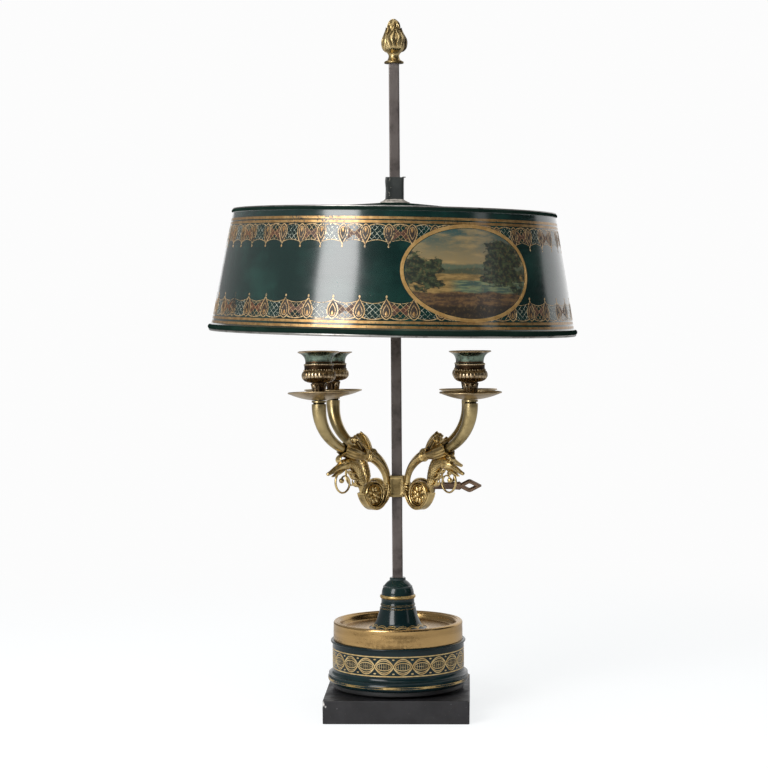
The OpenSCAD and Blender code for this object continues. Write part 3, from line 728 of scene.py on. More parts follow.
@dataclass(frozen=True)
class HonedSlate:
    """Black slate, honed and dusty: soft sheen, pale rubbed edges and small white bruises."""

    name: str = "honed_slate"

    def material(self) -> bpy.types.Material:
        """Builds the finish: charcoal with bedding clouds, worn edges and bruises.

        Returns:
            The Blender material.
        """
        g = Graph(self.name)
        skin = g.add(BLEND, g.add(BAND, g.noise(22.0, 5.0), 0.35, 0.7), "#151417", "#212023")
        bruises = g.add(BAND, g.noise(2.6, 3.0), 0.68, 0.74)
        skin = g.add(BLEND, g.add(TIMES, bruises, 0.5), skin, "#8d8c8e")
        wear = g.add("Attribute:wear").outputs["Fac"]
        rubbed = g.add(BAND, g.add(PLUS, g.add(TIMES, g.noise(3.0, 4.0), 0.8), wear), 0.95, 1.25)
        skin = g.add(BLEND, rubbed, skin, "#a9a6a4")
        chipped = g.add(BAND, wear, 1.2, 1.5)
        skin = g.add(BLEND, chipped, skin, "#e2e1dd")
        rough = g.add(BAND, g.noise(8.0, 3.0), 0.3, 0.7, 0.42, 0.62)
        grain = g.add("Bump", Height=g.noise(0.7, 4.0), Distance=0.05 * MM)
        g.surface(Base_Color=skin, Roughness=rough, Normal=grain)
        return g.material


@dataclass(frozen=True)
class PaintedScene:
    """Oil landscape in an oval: sky over far hills, a lake, near banks and dark trees.

    It is drawn on the pattern coordinates, which run from 0 to 1 across the oval.
    """

    name: str
    seed: float = 0.0
    side: float = 1.0

    def material(self) -> bpy.types.Material:
        """Builds the scene by layers, from the sky down to the near bank and the trees.

        Returns:
            The Blender material.
        """
        g = Graph(self.name)
        uv = g.add("UVMap:pattern")
        split = g.add("SeparateXYZ", uv)
        x = g.add(PLUS, g.add(TIMES, split.outputs[0], self.side), self.seed)
        y = split.outputs[1]

        def rough_line(level: float, size: float, swing: float, detail: float, shift: float) -> Any:
            """Height of a hill or bank at x: a level plus noise along x."""
            place = g.add("CombineXYZ", X=g.add(TIMES, x, size), Y=shift)
            wave = g.add("TexNoise", place, 1.0, detail, 0.55)
            return g.add(PLUS, g.add(TIMES, g.add(LESS, wave, 0.5), swing), level)

        def below(line: Any, soft: float) -> Any:
            """1 under a line and 0 over it, with a soft edge."""
            return g.add(BAND, g.add(LESS, line, y), -soft, soft)

        def dabs(size: float, shift: float, tall: float = 1.0) -> Any:
            """Brush dabs over the whole oval."""
            place = g.add("CombineXYZ", X=x, Y=g.add(TIMES, y, tall), Z=shift)
            return g.add("TexNoise", place, size, 5.0, 0.62)

        sky = g.add(BLEND, g.add(BAND, y, 0.56, 0.98), "#7d6c48", "#2a4543")
        cloud = g.add(BAND, g.add(PLUS, dabs(3.2, 1.0, 2.6), g.add(TIMES, y, 0.12)), 0.55, 0.78)
        skin = g.add(BLEND, g.add(TIMES, cloud, 0.7), sky, "#957c4e")
        skin = g.add(BLEND, below(rough_line(0.60, 3.0, 0.20, 3.0, 2.0), 0.015), skin, "#4a5442")
        skin = g.add(BLEND, below(rough_line(0.55, 5.0, 0.14, 4.0, 7.0), 0.012), skin, "#3c4230")
        field = g.add(BLEND, g.add(BAND, dabs(9.0, 3.0, 3.0), 0.4, 0.62), "#62502c", "#8a7040")
        skin = g.add(BLEND, below(rough_line(0.49, 4.0, 0.07, 4.0, 4.0), 0.010), skin, field)
        lake = g.add(TIMES, below(rough_line(0.42, 2.6, 0.05, 2.0, 9.0), 0.008), g.add(BAND, x, 0.30, 0.42))
        water = g.add(BLEND, g.add(BAND, dabs(7.0, 8.0, 6.0), 0.42, 0.6), "#33473f", "#66704f")
        skin = g.add(BLEND, lake, skin, water)
        bank = g.add(BLEND, g.add(BAND, dabs(13.0, 5.0, 2.0), 0.42, 0.62), "#33261c", "#5f4629")
        skin = g.add(BLEND, below(rough_line(0.29, 3.4, 0.16, 5.0, 11.0), 0.012), skin, bank)
        leaves = g.add(BLEND, g.add(BAND, dabs(22.0, 12.0), 0.45, 0.62), "#171f17", "#39432a")
        for dab, spot, weight, low, high in (
            (dabs(8.0, 14.0), (0.80, 0.60, 1.0, 0.8), 1.5, 0.16, 0.22),
            (dabs(9.0, 15.0), (0.12, 0.50, 1.5, 1.1), 1.6, 0.12, 0.18),
        ):
            crown = g.add(LESS, dab, g.add(TIMES, self.from_spot(g, x, y, *spot), weight))
            skin = g.add(BLEND, g.add(BAND, crown, low, high), skin, leaves)
        shadow = g.add(TIMES, below(rough_line(0.14, 6.0, 0.12, 5.0, 17.0), 0.02), 0.9)
        skin = g.add(BLEND, shadow, skin, "#1c1710")
        veil = g.add(BLEND, g.add(TIMES, g.add(BAND, g.noise(2.2, 4.0), 0.5, 0.72), 0.35), skin, "#7f6538")
        dabbed = g.add("Bump", Height=dabs(40.0, 1.0, 2.0), Distance=0.06 * MM)
        g.surface(Base_Color=veil, Roughness=0.42, Coat_Weight=0.5, Coat_Roughness=0.25, Normal=dabbed)
        return g.material

    def from_spot(
        self, g: Graph, x: Any, y: Any, at_x: float, at_y: float, wide: float, tall: float
    ) -> Any:
        """Distance from a spot on the pattern, stretched by its two sizes."""
        dx = g.add(TIMES, g.add(LESS, x, at_x + self.seed), wide)
        dy = g.add(TIMES, g.add(LESS, y, at_y), tall)
        return g.add("Math:SQRT", g.add(PLUS, g.add(TIMES, dx, dx), g.add(TIMES, dy, dy)))


class Finish(Enum):
    """The lamp's finishes, each a maker's material."""

    SLATE = HonedSlate()
    # Near-black paint of the foot ring: partly its own black, partly painted shadow under the drum's
    # moulding.
    BLACK_PAINT_AND_SHADE = OldMetal(
        "black_paint_and_painted_shade", "#141516", "#0c0d0e", "#060707", 0.5, 0.7, patch=9.0, grain=1.2,
        stain=0.2, metal=0.0,
    )
    TOLE = ToleLacquer()
    ROOF_TOLE = ToleLacquer(
        "dull_roof_lacquer", "#13211c", "#1c2e27", "#3f423a", 4.0, (0.6, 0.75), 0.0, 0.0
    )
    BELL_TOLE = ToleLacquer(
        "bell_lacquer", "#0b1d1f", "#182b28", "#6f6246", 5.0, coat=0.4, sheen_level=0.15
    )
    DRUM_TOLE = ToleLacquer(
        "drum_lacquer", "#0a1b1e", "#152829", "#5f5a48", 3.5, coat=0.25, sheen_level=0.12
    )
    SLEEVE_TOLE = ToleLacquer("sleeve_lacquer", "#262a29", "#3c3f3d", "#7d7a72", 2.0, (0.45, 0.6), 0.2)
    LACE_RED = GoldPaint("red_brown_ground", "#3a1d10", "#4d2a17", rubbed=0.2, rough=0.5, metal=0.0)
    LACE_UMBER = GoldPaint("umber_ground", "#1f1710", "#2b2015", rubbed=0.2, rough=0.5, metal=0.0)
    LINING = ShadeLining()
    LACE_GOLD = GoldPaint("lace_gold", "#ad8a5c", "#c9aa7c", rough=0.46, metal=0.6, coat=0.5)
    STRIPE_GOLD = GoldPaint("stripe_gold", "#9c7646", "#b8935f", rubbed=0.3, rough=0.42, coat=0.5)
    LATTICE_SILVER = GoldPaint(
        "lattice_silver", "#a9a48e", "#c9c6b6", rubbed=0.42, rough=0.46, metal=0.6, coat=0.5
    )
    FRAME_GOLD = GoldPaint("medallion_gold", "#a5814b", "#bb9862", rubbed=0.24, rough=0.5, metal=0.6)
    DRUM_GOLD = GoldPaint("drum_gold", "#b89a64", "#d6bd88", rubbed=0.34, rough=0.45, metal=0.7)
    BELL_GOLD = GoldPaint("bell_gold", "#bd9a5a", "#d9bd84", rubbed=0.18, rough=0.42, metal=0.8)
    FOOT_GOLD = GoldPaint("worn_foot_gold", "#a68a52", "#cbb077", rubbed=0.42, rough=0.4, metal=0.75)
    SCENE_A = PaintedScene("oval_landscape", 0.0, 1.0)
    SCENE_B = PaintedScene("oval_landscape_back", 3.0, -1.0)
    DISH = OldMetal(
        "spun_brass", "#cdaa74", "#9a7d50", "#54422a", 0.24, 0.44, patch=26.0, grain=0.9,
        stretch=(5, 5, 1), hollow_from=0.54, hollow_to=0.8, stain=0.75,
    )
    GILT = OldMetal(
        "chased_gilt_bronze", "#cbb27c", "#8f7a50", "#2c2418", 0.28, 0.5, patch=9.0, grain=0.7,
        grain_depth=0.03,
    )
    FINIAL = OldMetal("cast_gilt_bronze", "#cbb482", "#9a8456", "#4c3e28", 0.34, 0.52, patch=8.0)
    PAN = OldMetal("satin_brass", "#bda987", "#917b58", "#4a3b28", 0.3, 0.48, patch=18.0, stain=0.5)
    SOCKET = OldMetal(
        "copper_brown_brass", "#b6a283", "#745c3c", "#35271a", 0.24, 0.45, patch=10.0, stain=0.7
    )
    HORN = OldMetal("olive_brass", "#b3a074", "#83734c", "#362f1f", 0.28, 0.46, patch=16.0, stain=0.5)
    BAR = OldMetal(
        "wrought_iron", "#6c6561", "#4d4643", "#2e2827", 0.42, 0.62, patch=20.0, grain=1.4,
        grain_depth=0.05, stain=0.6, metal=0.55,
    )
    RUST = OldMetal(
        "rusted_iron", "#8a7664", "#5b4638", "#2e211b", 0.45, 0.68, patch=7.0, grain=0.8, grain_depth=0.08,
        metal=0.45,
    )
    SOLDER = OldMetal(
        "old_solder", "#b5aea4", "#958f86", "#57534d", 0.5, 0.7, patch=5.0, grain=1.2, grain_depth=0.12,
        metal=0.35,
    )
    KEY = OldMetal(
        "browned_iron", "#7d6552", "#54443a", "#241b17", 0.42, 0.6, patch=8.0, grain=1.0, grain_depth=0.05,
        metal=0.7,
    )
    CUP_NECK = OldMetal(
        "heat_blued_brass", "#8b9a88", "#52665c", "#4b3626", 0.24, 0.4, patch=7.0, stain=0.62
    )
    STEEL = OldMetal("spring_steel", "#9d9b97", "#74706c", "#3a3633", 0.3, 0.5)
    CAST_IRON = OldMetal(
        "raw_cast_iron", "#6a6866", "#4b4a49", "#2a2928", 0.5, 0.7, grain=1.6, grain_depth=0.1, metal=0.7
    )


class Palette:
    """Makes each finish once, when a piece first asks for it."""

    def __init__(self) -> None:
        """Starts with no materials."""
        self.made: dict[Finish, bpy.types.Material] = {}

    def __call__(self, *finishes: Finish) -> list[bpy.types.Material]:
        """The Blender materials of some finishes.

        Args:
            finishes: The finishes wanted.
        Returns:
            One material for each.
        """
        for finish in finishes:
            if finish not in self.made:
                self.made[finish] = finish.value.material()
        return [self.made[finish] for finish in finishes]


# ---- Gilding on turned walls ----


class Wall:
    """A surface of revolution that painted ornament lies on.

    A place on it is (a, b, h): a millimetres round it, b millimetres up its outline and h off it.
    """

    def __init__(
        self,
        outline: Curve,
        reference: float,
        start: float = 0.0,
        relief: Relief | None = None,
    ) -> None:
        """Measures the outline.

        Args:
            outline: Radii and heights, from the bottom up.
            reference: Radius at which a is measured.
            start: Bearing in degrees at which a is 0.
            relief: The wall's own waves, as revolve takes them, or None.
        """
        self.relief = relief
        self.outline = outline
        self.reference = reference
        self.start = math.radians(start)
        self.along = np.concatenate([[0.0], np.cumsum(np.linalg.norm(np.diff(outline, axis=0), axis=1))])
        self.normals = directions(outline)[:, ::-1] * (1, -1)

    @property
    def length(self) -> float:
        """Length of the outline."""
        return float(self.along[-1])

    @property
    def girth(self) -> float:
        """Distance once round at the reference radius."""
        return 2 * math.pi * self.reference

    def at(self, places: Points) -> Points:
        """Points in space: the outline's point at b, moved h along its normal and turned by a.

        Args:
            places: Array (..., 3) of a, b and h.
        Returns:
            Array (..., 3) of x, y and z in millimetres.
        """
        a, b, h = places[..., 0], places[..., 1], places[..., 2]
        radius, height = (
            np.interp(b, self.along, self.outline[:, k]) + h * np.interp(b, self.along, self.normals[:, k])
            for k in (0, 1)
        )
        angle = self.start + a / self.reference
        if self.relief is not None:
            radius = radius + self.relief(angle, height)
        return np.stack([radius * np.cos(angle), radius * np.sin(angle), height], -1)


PAINT_SUNK = 0.06


def stroke(path: Any, width: Any, height: float = 0.07, closed: bool = False) -> Points:
    """A brushed line: a thin bar with sloping sides along a path on the wall.

    Formula: each path point gives four corners, two sunk in the wall at the full width and two
    raised off it at a narrower one.

    Args:
        path: Points (a, b).
        width: Width of the line, one number or one per point.
        height: How far the paint stands off the wall.
        closed: Whether the last point joins the first.
    Returns:
        A grid of len(path) by 4 places (a, b, h).
    """
    path = np.asarray(path, float)
    d = directions(path, closed)
    side = np.stack([-d[:, 1], d[:, 0]], 1)
    half = np.broadcast_to(np.asarray(width, float) / 2, len(path))[:, None]
    inner = np.maximum(half - height, half * 0.5)
    corners = [(half, -PAINT_SUNK), (inner, height), (-inner, height), (-half, -PAINT_SUNK)]
    level = np.ones((len(path), 1))
    return np.stack([np.concatenate([path + side * w, level * h], 1) for w, h in corners], 1)


def daub(outline: Any, height: float = 0.1) -> Points:
    """A filled touch of paint: a closed outline drawn in over a low dome.

    Args:
        outline: Closed outline (a, b).
        height: How far its middle stands off the wall.
    Returns:
        A grid of 5 by len(outline) places, whose first and last rows are points.
    """
    outline = np.asarray(outline, float)
    middle = outline.mean(0)
    rows = [(0.0, -PAINT_SUNK), (1.0, -PAINT_SUNK), (0.86, height * 0.75), (0.45, height), (0.0, height)]
    level = np.ones((len(outline), 1))
    return np.stack([np.concatenate([middle + (outline - middle) * s, level * h], 1) for s, h in rows])


@dataclass
class Stroke:
    """One part of a painted motif."""

    grid: Points
    slot: int = 0
    closed: bool = False
    filled: bool = False


@dataclass
class Motif:
    """Strokes that repeat round a wall."""

    strokes: list[Stroke] = field(default_factory=list)

    def line(self, path: Any, width: Any, slot: int = 0, closed: bool = False) -> None:
        """Adds a brushed line."""
        self.strokes.append(Stroke(stroke(path, width, closed=closed), slot, closed))

    def level(self, length: float, points: int, b: float, width: float, slot: int = 0) -> None:
        """Adds a brushed line that runs level round the wall."""
        run = np.linspace(0, length, points)
        self.line(np.stack([run, 0 * run + b], 1), width, slot)

    def touch(self, outline: Any, slot: int = 0, height: float = 0.1) -> None:
        """Adds a filled touch."""
        self.strokes.append(Stroke(daub(outline, height), slot, filled=True))

    def paint(
        self,
        solid: Solid,
        wall: Wall,
        offsets: np.ndarray,
        upside: float | None = None,
        away: Callable[[Points], np.ndarray] | None = None,
        wear: Callable[[Points], np.ndarray] | None = None,
    ) -> None:
        """Paints the motif at each offset round the wall.

        Args:
            solid: Collects the paint.
            wall: The surface under it.
            offsets: Place of each copy, in millimetres round the wall.
            upside: Where given, the motif is turned over, so that b becomes this less b.
            away: Says which places (a, b) are kept bare, or None.
            wear: Gives the wear from the points in space, or None.
        """
        for item in self.strokes:
            grid = item.grid.copy()
            if upside is not None:
                grid[..., 1] = upside - grid[..., 1]
            stack = np.repeat(grid[None], len(offsets), 0)
            stack[..., 0] += offsets[:, None, None]
            if not item.closed and not item.filled:
                first = stack[:, :1].mean(2, keepdims=True).repeat(4, 2)
                last = stack[:, -1:].mean(2, keepdims=True).repeat(4, 2)
                stack = np.concatenate([first, stack, last], 1)
            keep = None
            if away is not None:
                bare = away(stack)
                following = np.roll(bare, -1, 1) if item.closed else bare[:, 1:]
                rows = bare if item.closed else bare[:, :-1]
                keep = ~(rows | following)
                keep &= ~(np.roll(rows, -1, 2) | np.roll(following, -1, 2))
            points = wall.at(stack)
            worn = 0.0 if wear is None else wear(points)
            solid.grid(points, closed=item.closed, slot=item.slot, keep=keep, wear=worn)


# ---- The frame's places ----


def box_mm(node: str) -> tuple[np.ndarray, np.ndarray]:
    """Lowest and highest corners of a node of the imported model, in millimetres."""
    low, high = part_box(node)
    return np.array(low) / MM, np.array(high) / MM


@dataclass(frozen=True)
class Layout:
    """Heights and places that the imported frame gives, in millimetres and degrees."""

    plinth_half: float
    ring_low: float
    drum_low: float
    dish_skirt: float
    dish_crest: float
    dish_floor: float
    bell_top: float
    bar_half: float
    bar_top: float
    finial_top: float
    collar_mid: float
    tilt: float
    bearings: dict[str, float]
    reach: float
    lean_z: float
    shade_lean: float = 1.4

    @classmethod
    def read(cls, record: Mapping[str, Any]) -> "Layout":
        """Reads the boxes of the nodes and the candle mounts of the record.

        Args:
            record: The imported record.
        Returns:
            The lamp's layout.
        """
        candles = {m["name"].removeprefix("candle_"): m for m in record["mounts"] if m["name"] != "base"}
        collar_low, collar_high = box_mm("collar")
        collar_mid = float(collar_low[2] + collar_high[2]) / 2
        tilt = -math.degrees(math.asin(next(iter(candles.values()))["axis"][1]))
        mid = (0, 0, collar_mid)
        upright = {name: turned(np.array(m["pos_m"]) / MM, -tilt, "X", mid) for name, m in candles.items()}
        bar_low, bar_high = box_mm("bar")
        finial_low, finial_high = box_mm("finial")
        sleeve_low, sleeve_high = box_mm("shade_sleeve")
        return cls(
            plinth_half=float(box_mm("plinth")[1][0]),
            ring_low=float(box_mm("foot_ring")[0][2]),
            drum_low=float(box_mm("drum_wall")[0][2]),
            dish_skirt=float(box_mm("brass_dish")[0][2]),
            dish_crest=float(box_mm("brass_dish")[1][2]),
            dish_floor=float(box_mm("bell_foot")[0][2]),
            bell_top=float(box_mm("bell_foot")[1][2]),
            bar_half=float(bar_high[0]),
            bar_top=float(finial_low[2]),
            finial_top=float(finial_high[2]),
            collar_mid=collar_mid,
            tilt=tilt,
            bearings={name: math.degrees(math.atan2(p[1], p[0])) for name, p in upright.items()},
            reach=float(np.mean([math.hypot(p[0], p[1]) for p in upright.values()])),
            lean_z=float(sleeve_low[2] + sleeve_high[2]) / 2 + 1.0,
        )


# ---- Studio ----


@dataclass
class SoftBox:
    """A soft lamp: where it stands, its size in metres and how bright its face is."""

    name: str
    bearing: float
    height: float
    distance: float
    width: float
    tall: float
    glow: float


@dataclass
class Studio:
    """Camera, soft lamps, pale floor and the dim room behind the camera that metal mirrors."""

    bearing: float = 2.2
    distance: float = 1.944
    eye: float = 0.399
    lens: float = 97.03
    pitch: float = -2.66
    aim_left: float = 0.34
    roll: float = 0.43
    fill: float = 0.5
    white: float = 0.975
    paper_glow: float = 0.83
    lit_height: float = 0.32
    room_from: float = -158.0
    room_to: float = 117.0
    room_glow: tuple[float, float] = (0.32, 0.03)
    lamps: tuple[SoftBox, ...] = (
        SoftBox("key_softbox", -36.5, 0.95, 1.6, 0.7, 1.25, 9.8),
        SoftBox("side_softbox", 62.0, 0.9, 1.9, 0.3, 0.9, 1.2),
        SoftBox("top_softbox", -10.0, 2.1, 0.9, 0.9, 0.9, 2.2),
    )

    def build(self) -> None:
        """Makes the whole studio."""
        self.camera()
        for lamp in self.lamps:
            self.lamp(lamp)
        self.world()
        self.floor()
        self.room()

    def toward(self, bearing: float, distance: float, height: float) -> Vector:
        """A place round the lamp, with the bearing counted from the camera's side, to its right."""
        angle = math.radians(self.bearing + bearing)
        return Vector((distance * math.sin(angle), -distance * math.cos(angle), height))

    def camera(self) -> None:
        """Sets the camera level with the shade, aimed a little down and left of the bar."""
        data = bpy.data.cameras.new("camera")
        data.lens = self.lens
        data.sensor_width = 36.0
        data.clip_start, data.clip_end = 0.05, 60.0
        camera = in_scene("camera", data)
        heading = Matrix.Rotation(math.radians(self.bearing + self.aim_left), 4, "Z")
        tip = Matrix.Rotation(math.radians(90 + self.pitch), 4, "X")
        roll = Matrix.Rotation(math.radians(-self.roll), 4, "Z")
        place = Matrix.Translation(self.toward(0, self.distance, self.eye))
        camera.matrix_world = place @ heading @ tip @ roll
        bpy.context.scene.camera = camera

    def lamp(self, box: SoftBox) -> None:
        """Adds a soft lamp that faces the middle of the object.

        Args:
            box: The lamp's place, size and glow.
        """
        data = bpy.data.lights.new(box.name, "AREA")
        data.shape = "RECTANGLE"
        data.size, data.size_y = box.width, box.tall
        data.energy = box.glow * math.pi * box.width * box.tall
        lamp = in_scene(box.name, data)
        lamp.location = self.toward(box.bearing, box.distance, box.height)
        aim = Vector((0, 0, self.lit_height)) - lamp.location
        lamp.rotation_euler = aim.to_track_quat("-Z", "Y").to_euler()

    def world(self) -> None:
        """White backdrop for the camera and for mirrored rays, and a plain fill for the rest."""
        world = bpy.data.worlds.new("studio")
        g = Graph("studio", world)
        ray = g.add("LightPath").outputs
        seen = g.add("Math:MAXIMUM", ray["Is Camera Ray"], ray["Is Glossy Ray"])
        seen = g.add("Math:MAXIMUM", seen, ray["Is Transmission Ray"])
        strength = g.add("MapRange:LINEAR", seen, 0.0, 1.0, self.fill, self.white)
        back = g.add("Background", Color="#ffffff", Strength=strength)
        g.add("OutputWorld", Surface=back)
        bpy.context.scene.world = world
        bpy.context.scene.view_settings.view_transform = "Standard"

    def floor(self) -> None:
        """White paper floor that fades into the backdrop's white away from the object."""
        half, low = 9.0, -0.0002
        mesh = bpy.data.meshes.new("paper_floor")
        corners = [(-half, -half, low), (half, -half, low), (half, half, low), (-half, half, low)]
        mesh.from_pydata(corners, [], [(0, 1, 2, 3)])
        floor = in_scene("paper_floor", mesh)
        g = Graph("white_paper")
        seen = g.add("LightPath").outputs["Is Camera Ray"]
        away = g.add("VectorMath:LENGTH", g.place)
        far = g.add(BAND, away, 0.25, 1.1)
        paper = g.add("BsdfDiffuse", Color=g.add(BLEND, seen, "#ededed", "#8a8a8a"))
        glow = g.add(TIMES, seen, self.paper_glow)
        lift = g.add("Emission", Color="#f8fafb", Strength=glow)
        near = g.add("AddShader", paper, lift)
        white = g.add("Emission", Color="#ffffff", Strength=self.white)
        share = g.add(TIMES, far, seen)
        g.add("OutputMaterial", Surface=g.add("MixShader", share, near, white))
        mesh.materials.append(g.material)

    def room(self) -> None:
        """The dim room in front of the object, seen only in reflections: lighter at the left."""
        angle = np.radians(np.linspace(self.room_from, self.room_to, 61))[:, None]
        rise = np.array([-0.1, 1.2, 2.4, 3.2])[None, :]
        near = np.array([3.6, 3.6, 3.1, 1.6])[None, :]
        heading = angle + math.radians(self.bearing)
        grid = np.stack([near * np.sin(heading), -near * np.cos(heading), rise + 0 * angle], -1)
        mesh = bpy.data.meshes.new("dim_room")
        rows, cols = grid.shape[:2]
        i, j = np.meshgrid(np.arange(rows - 1), np.arange(cols - 1), indexing="ij")
        quads = np.stack([i * cols + j, i * cols + j + 1, (i + 1) * cols + j + 1, (i + 1) * cols + j], -1)
        mesh.from_pydata(grid.reshape(-1, 3).tolist(), [], quads.reshape(-1, 4).tolist())
        room = in_scene("dim_room", mesh)
        g = Graph("grey_room")
        strength = g.add(BAND, g.add("SeparateXYZ", g.place), -3.0, 0.8, *self.room_glow)
        glow = g.add("Emission", Color="#ffffff", Strength=strength)
        g.add("OutputMaterial", Surface=glow)
        mesh.materials.append(g.material)
        for ray in ("camera", "diffuse", "transmission", "volume_scatter", "shadow"):
            setattr(room, "visible_" + ray, False)


# ---- The base ----


@dataclass
class Part:
    """A sub-assembly: the places that the frame gives it and the finishes that dress it."""

    layout: Layout
    palette: Palette


@dataclass
class Plinth(Part):
    """Square slate block with worn edges, drilled, with a pocket for the nut underneath."""

    corner: float = 1.1
    edge: float = 0.7
    hole: float = 4.2
    pocket: float = 13.5
    pocket_h: float = 10.5
    chip: float = 1.5
    spans: int = 120

    def build(self) -> None:
        """Makes the block: rings of rounded squares from the pocket round to the drilled hole."""
        half, top, e = self.layout.plinth_half, self.layout.ring_low, self.edge
        bend = np.radians([0, 30, 60, 90])
        sides = np.linspace(e, top - e, 19)[1:-1]
        lids = np.array([0.99, 0.96, 0.9, 0.8, 0.6, 0.35]) * half
        rows = [(self.hole, self.pocket_h), (self.pocket, self.pocket_h), (self.pocket, 0.0)]
        rows += [(half - e + e * math.sin(b), e - e * math.cos(b)) for b in bend]
        rows += [(half, z) for z in sides]
        rows += [(half - e + e * math.cos(b), top - e + e * math.sin(b)) for b in bend]
        rows += [(h, top) for h in lids] + [(self.hole, top)]
        size, z = np.array(rows).T
        corner = np.where(size < self.pocket + 0.1, size, self.corner)
        points = square_stack(size, z, corner, self.spans)
        solid = Solid("slate_plinth")
        outer = np.abs(points[..., :2])
        to_corner = np.hypot(half - outer[..., 0], half - outer[..., 1])
        to_side = half - outer.max(-1)
        to_edge = np.hypot(to_side, np.minimum(top - points[..., 2], points[..., 2] + 1.5))
        near = np.exp(-to_edge / 0.9) + np.exp(-to_corner / 0.9)
        bite = ease(ripple(points, 11, 5), 1.2, 1.7) * np.exp(-np.minimum(to_edge, to_corner) / 1.6)
        bruise = np.zeros_like(bite)
        for spot, reach in (((-half, -half, top - 3.0), 1.7), ((-half + 2.8, -half, top - 5.5), 1.0)):
            bruise += np.exp(-(np.linalg.norm(points - spot, axis=-1) / reach) ** 2)
        depth = self.chip * (bite * 0.6 + bruise * 0.7) + 0.05 * ripple(points, 7, 2)
        inward = np.sign(points[..., :2]) * (outer > half - 3)
        points[..., :2] -= inward * depth[..., None] * 0.7
        points[..., 2] -= np.where(points[..., 2] > top - 2, depth * 0.5, 0)
        front = points[..., 1] < 2 - half
        scuff = np.exp(-((points[..., 0] - 4) / 26) ** 2 - ((points[..., 2] - 7.5) / 4.5) ** 2) * front
        wear = 0.6 * np.minimum(near, 1) + 1.5 * bruise + bite + 0.42 * scuff
        solid.grid(points, closed=True, wear=wear)
        solid.finish(self.palette(Finish.SLATE), "slate", "stand", ["plinth"])


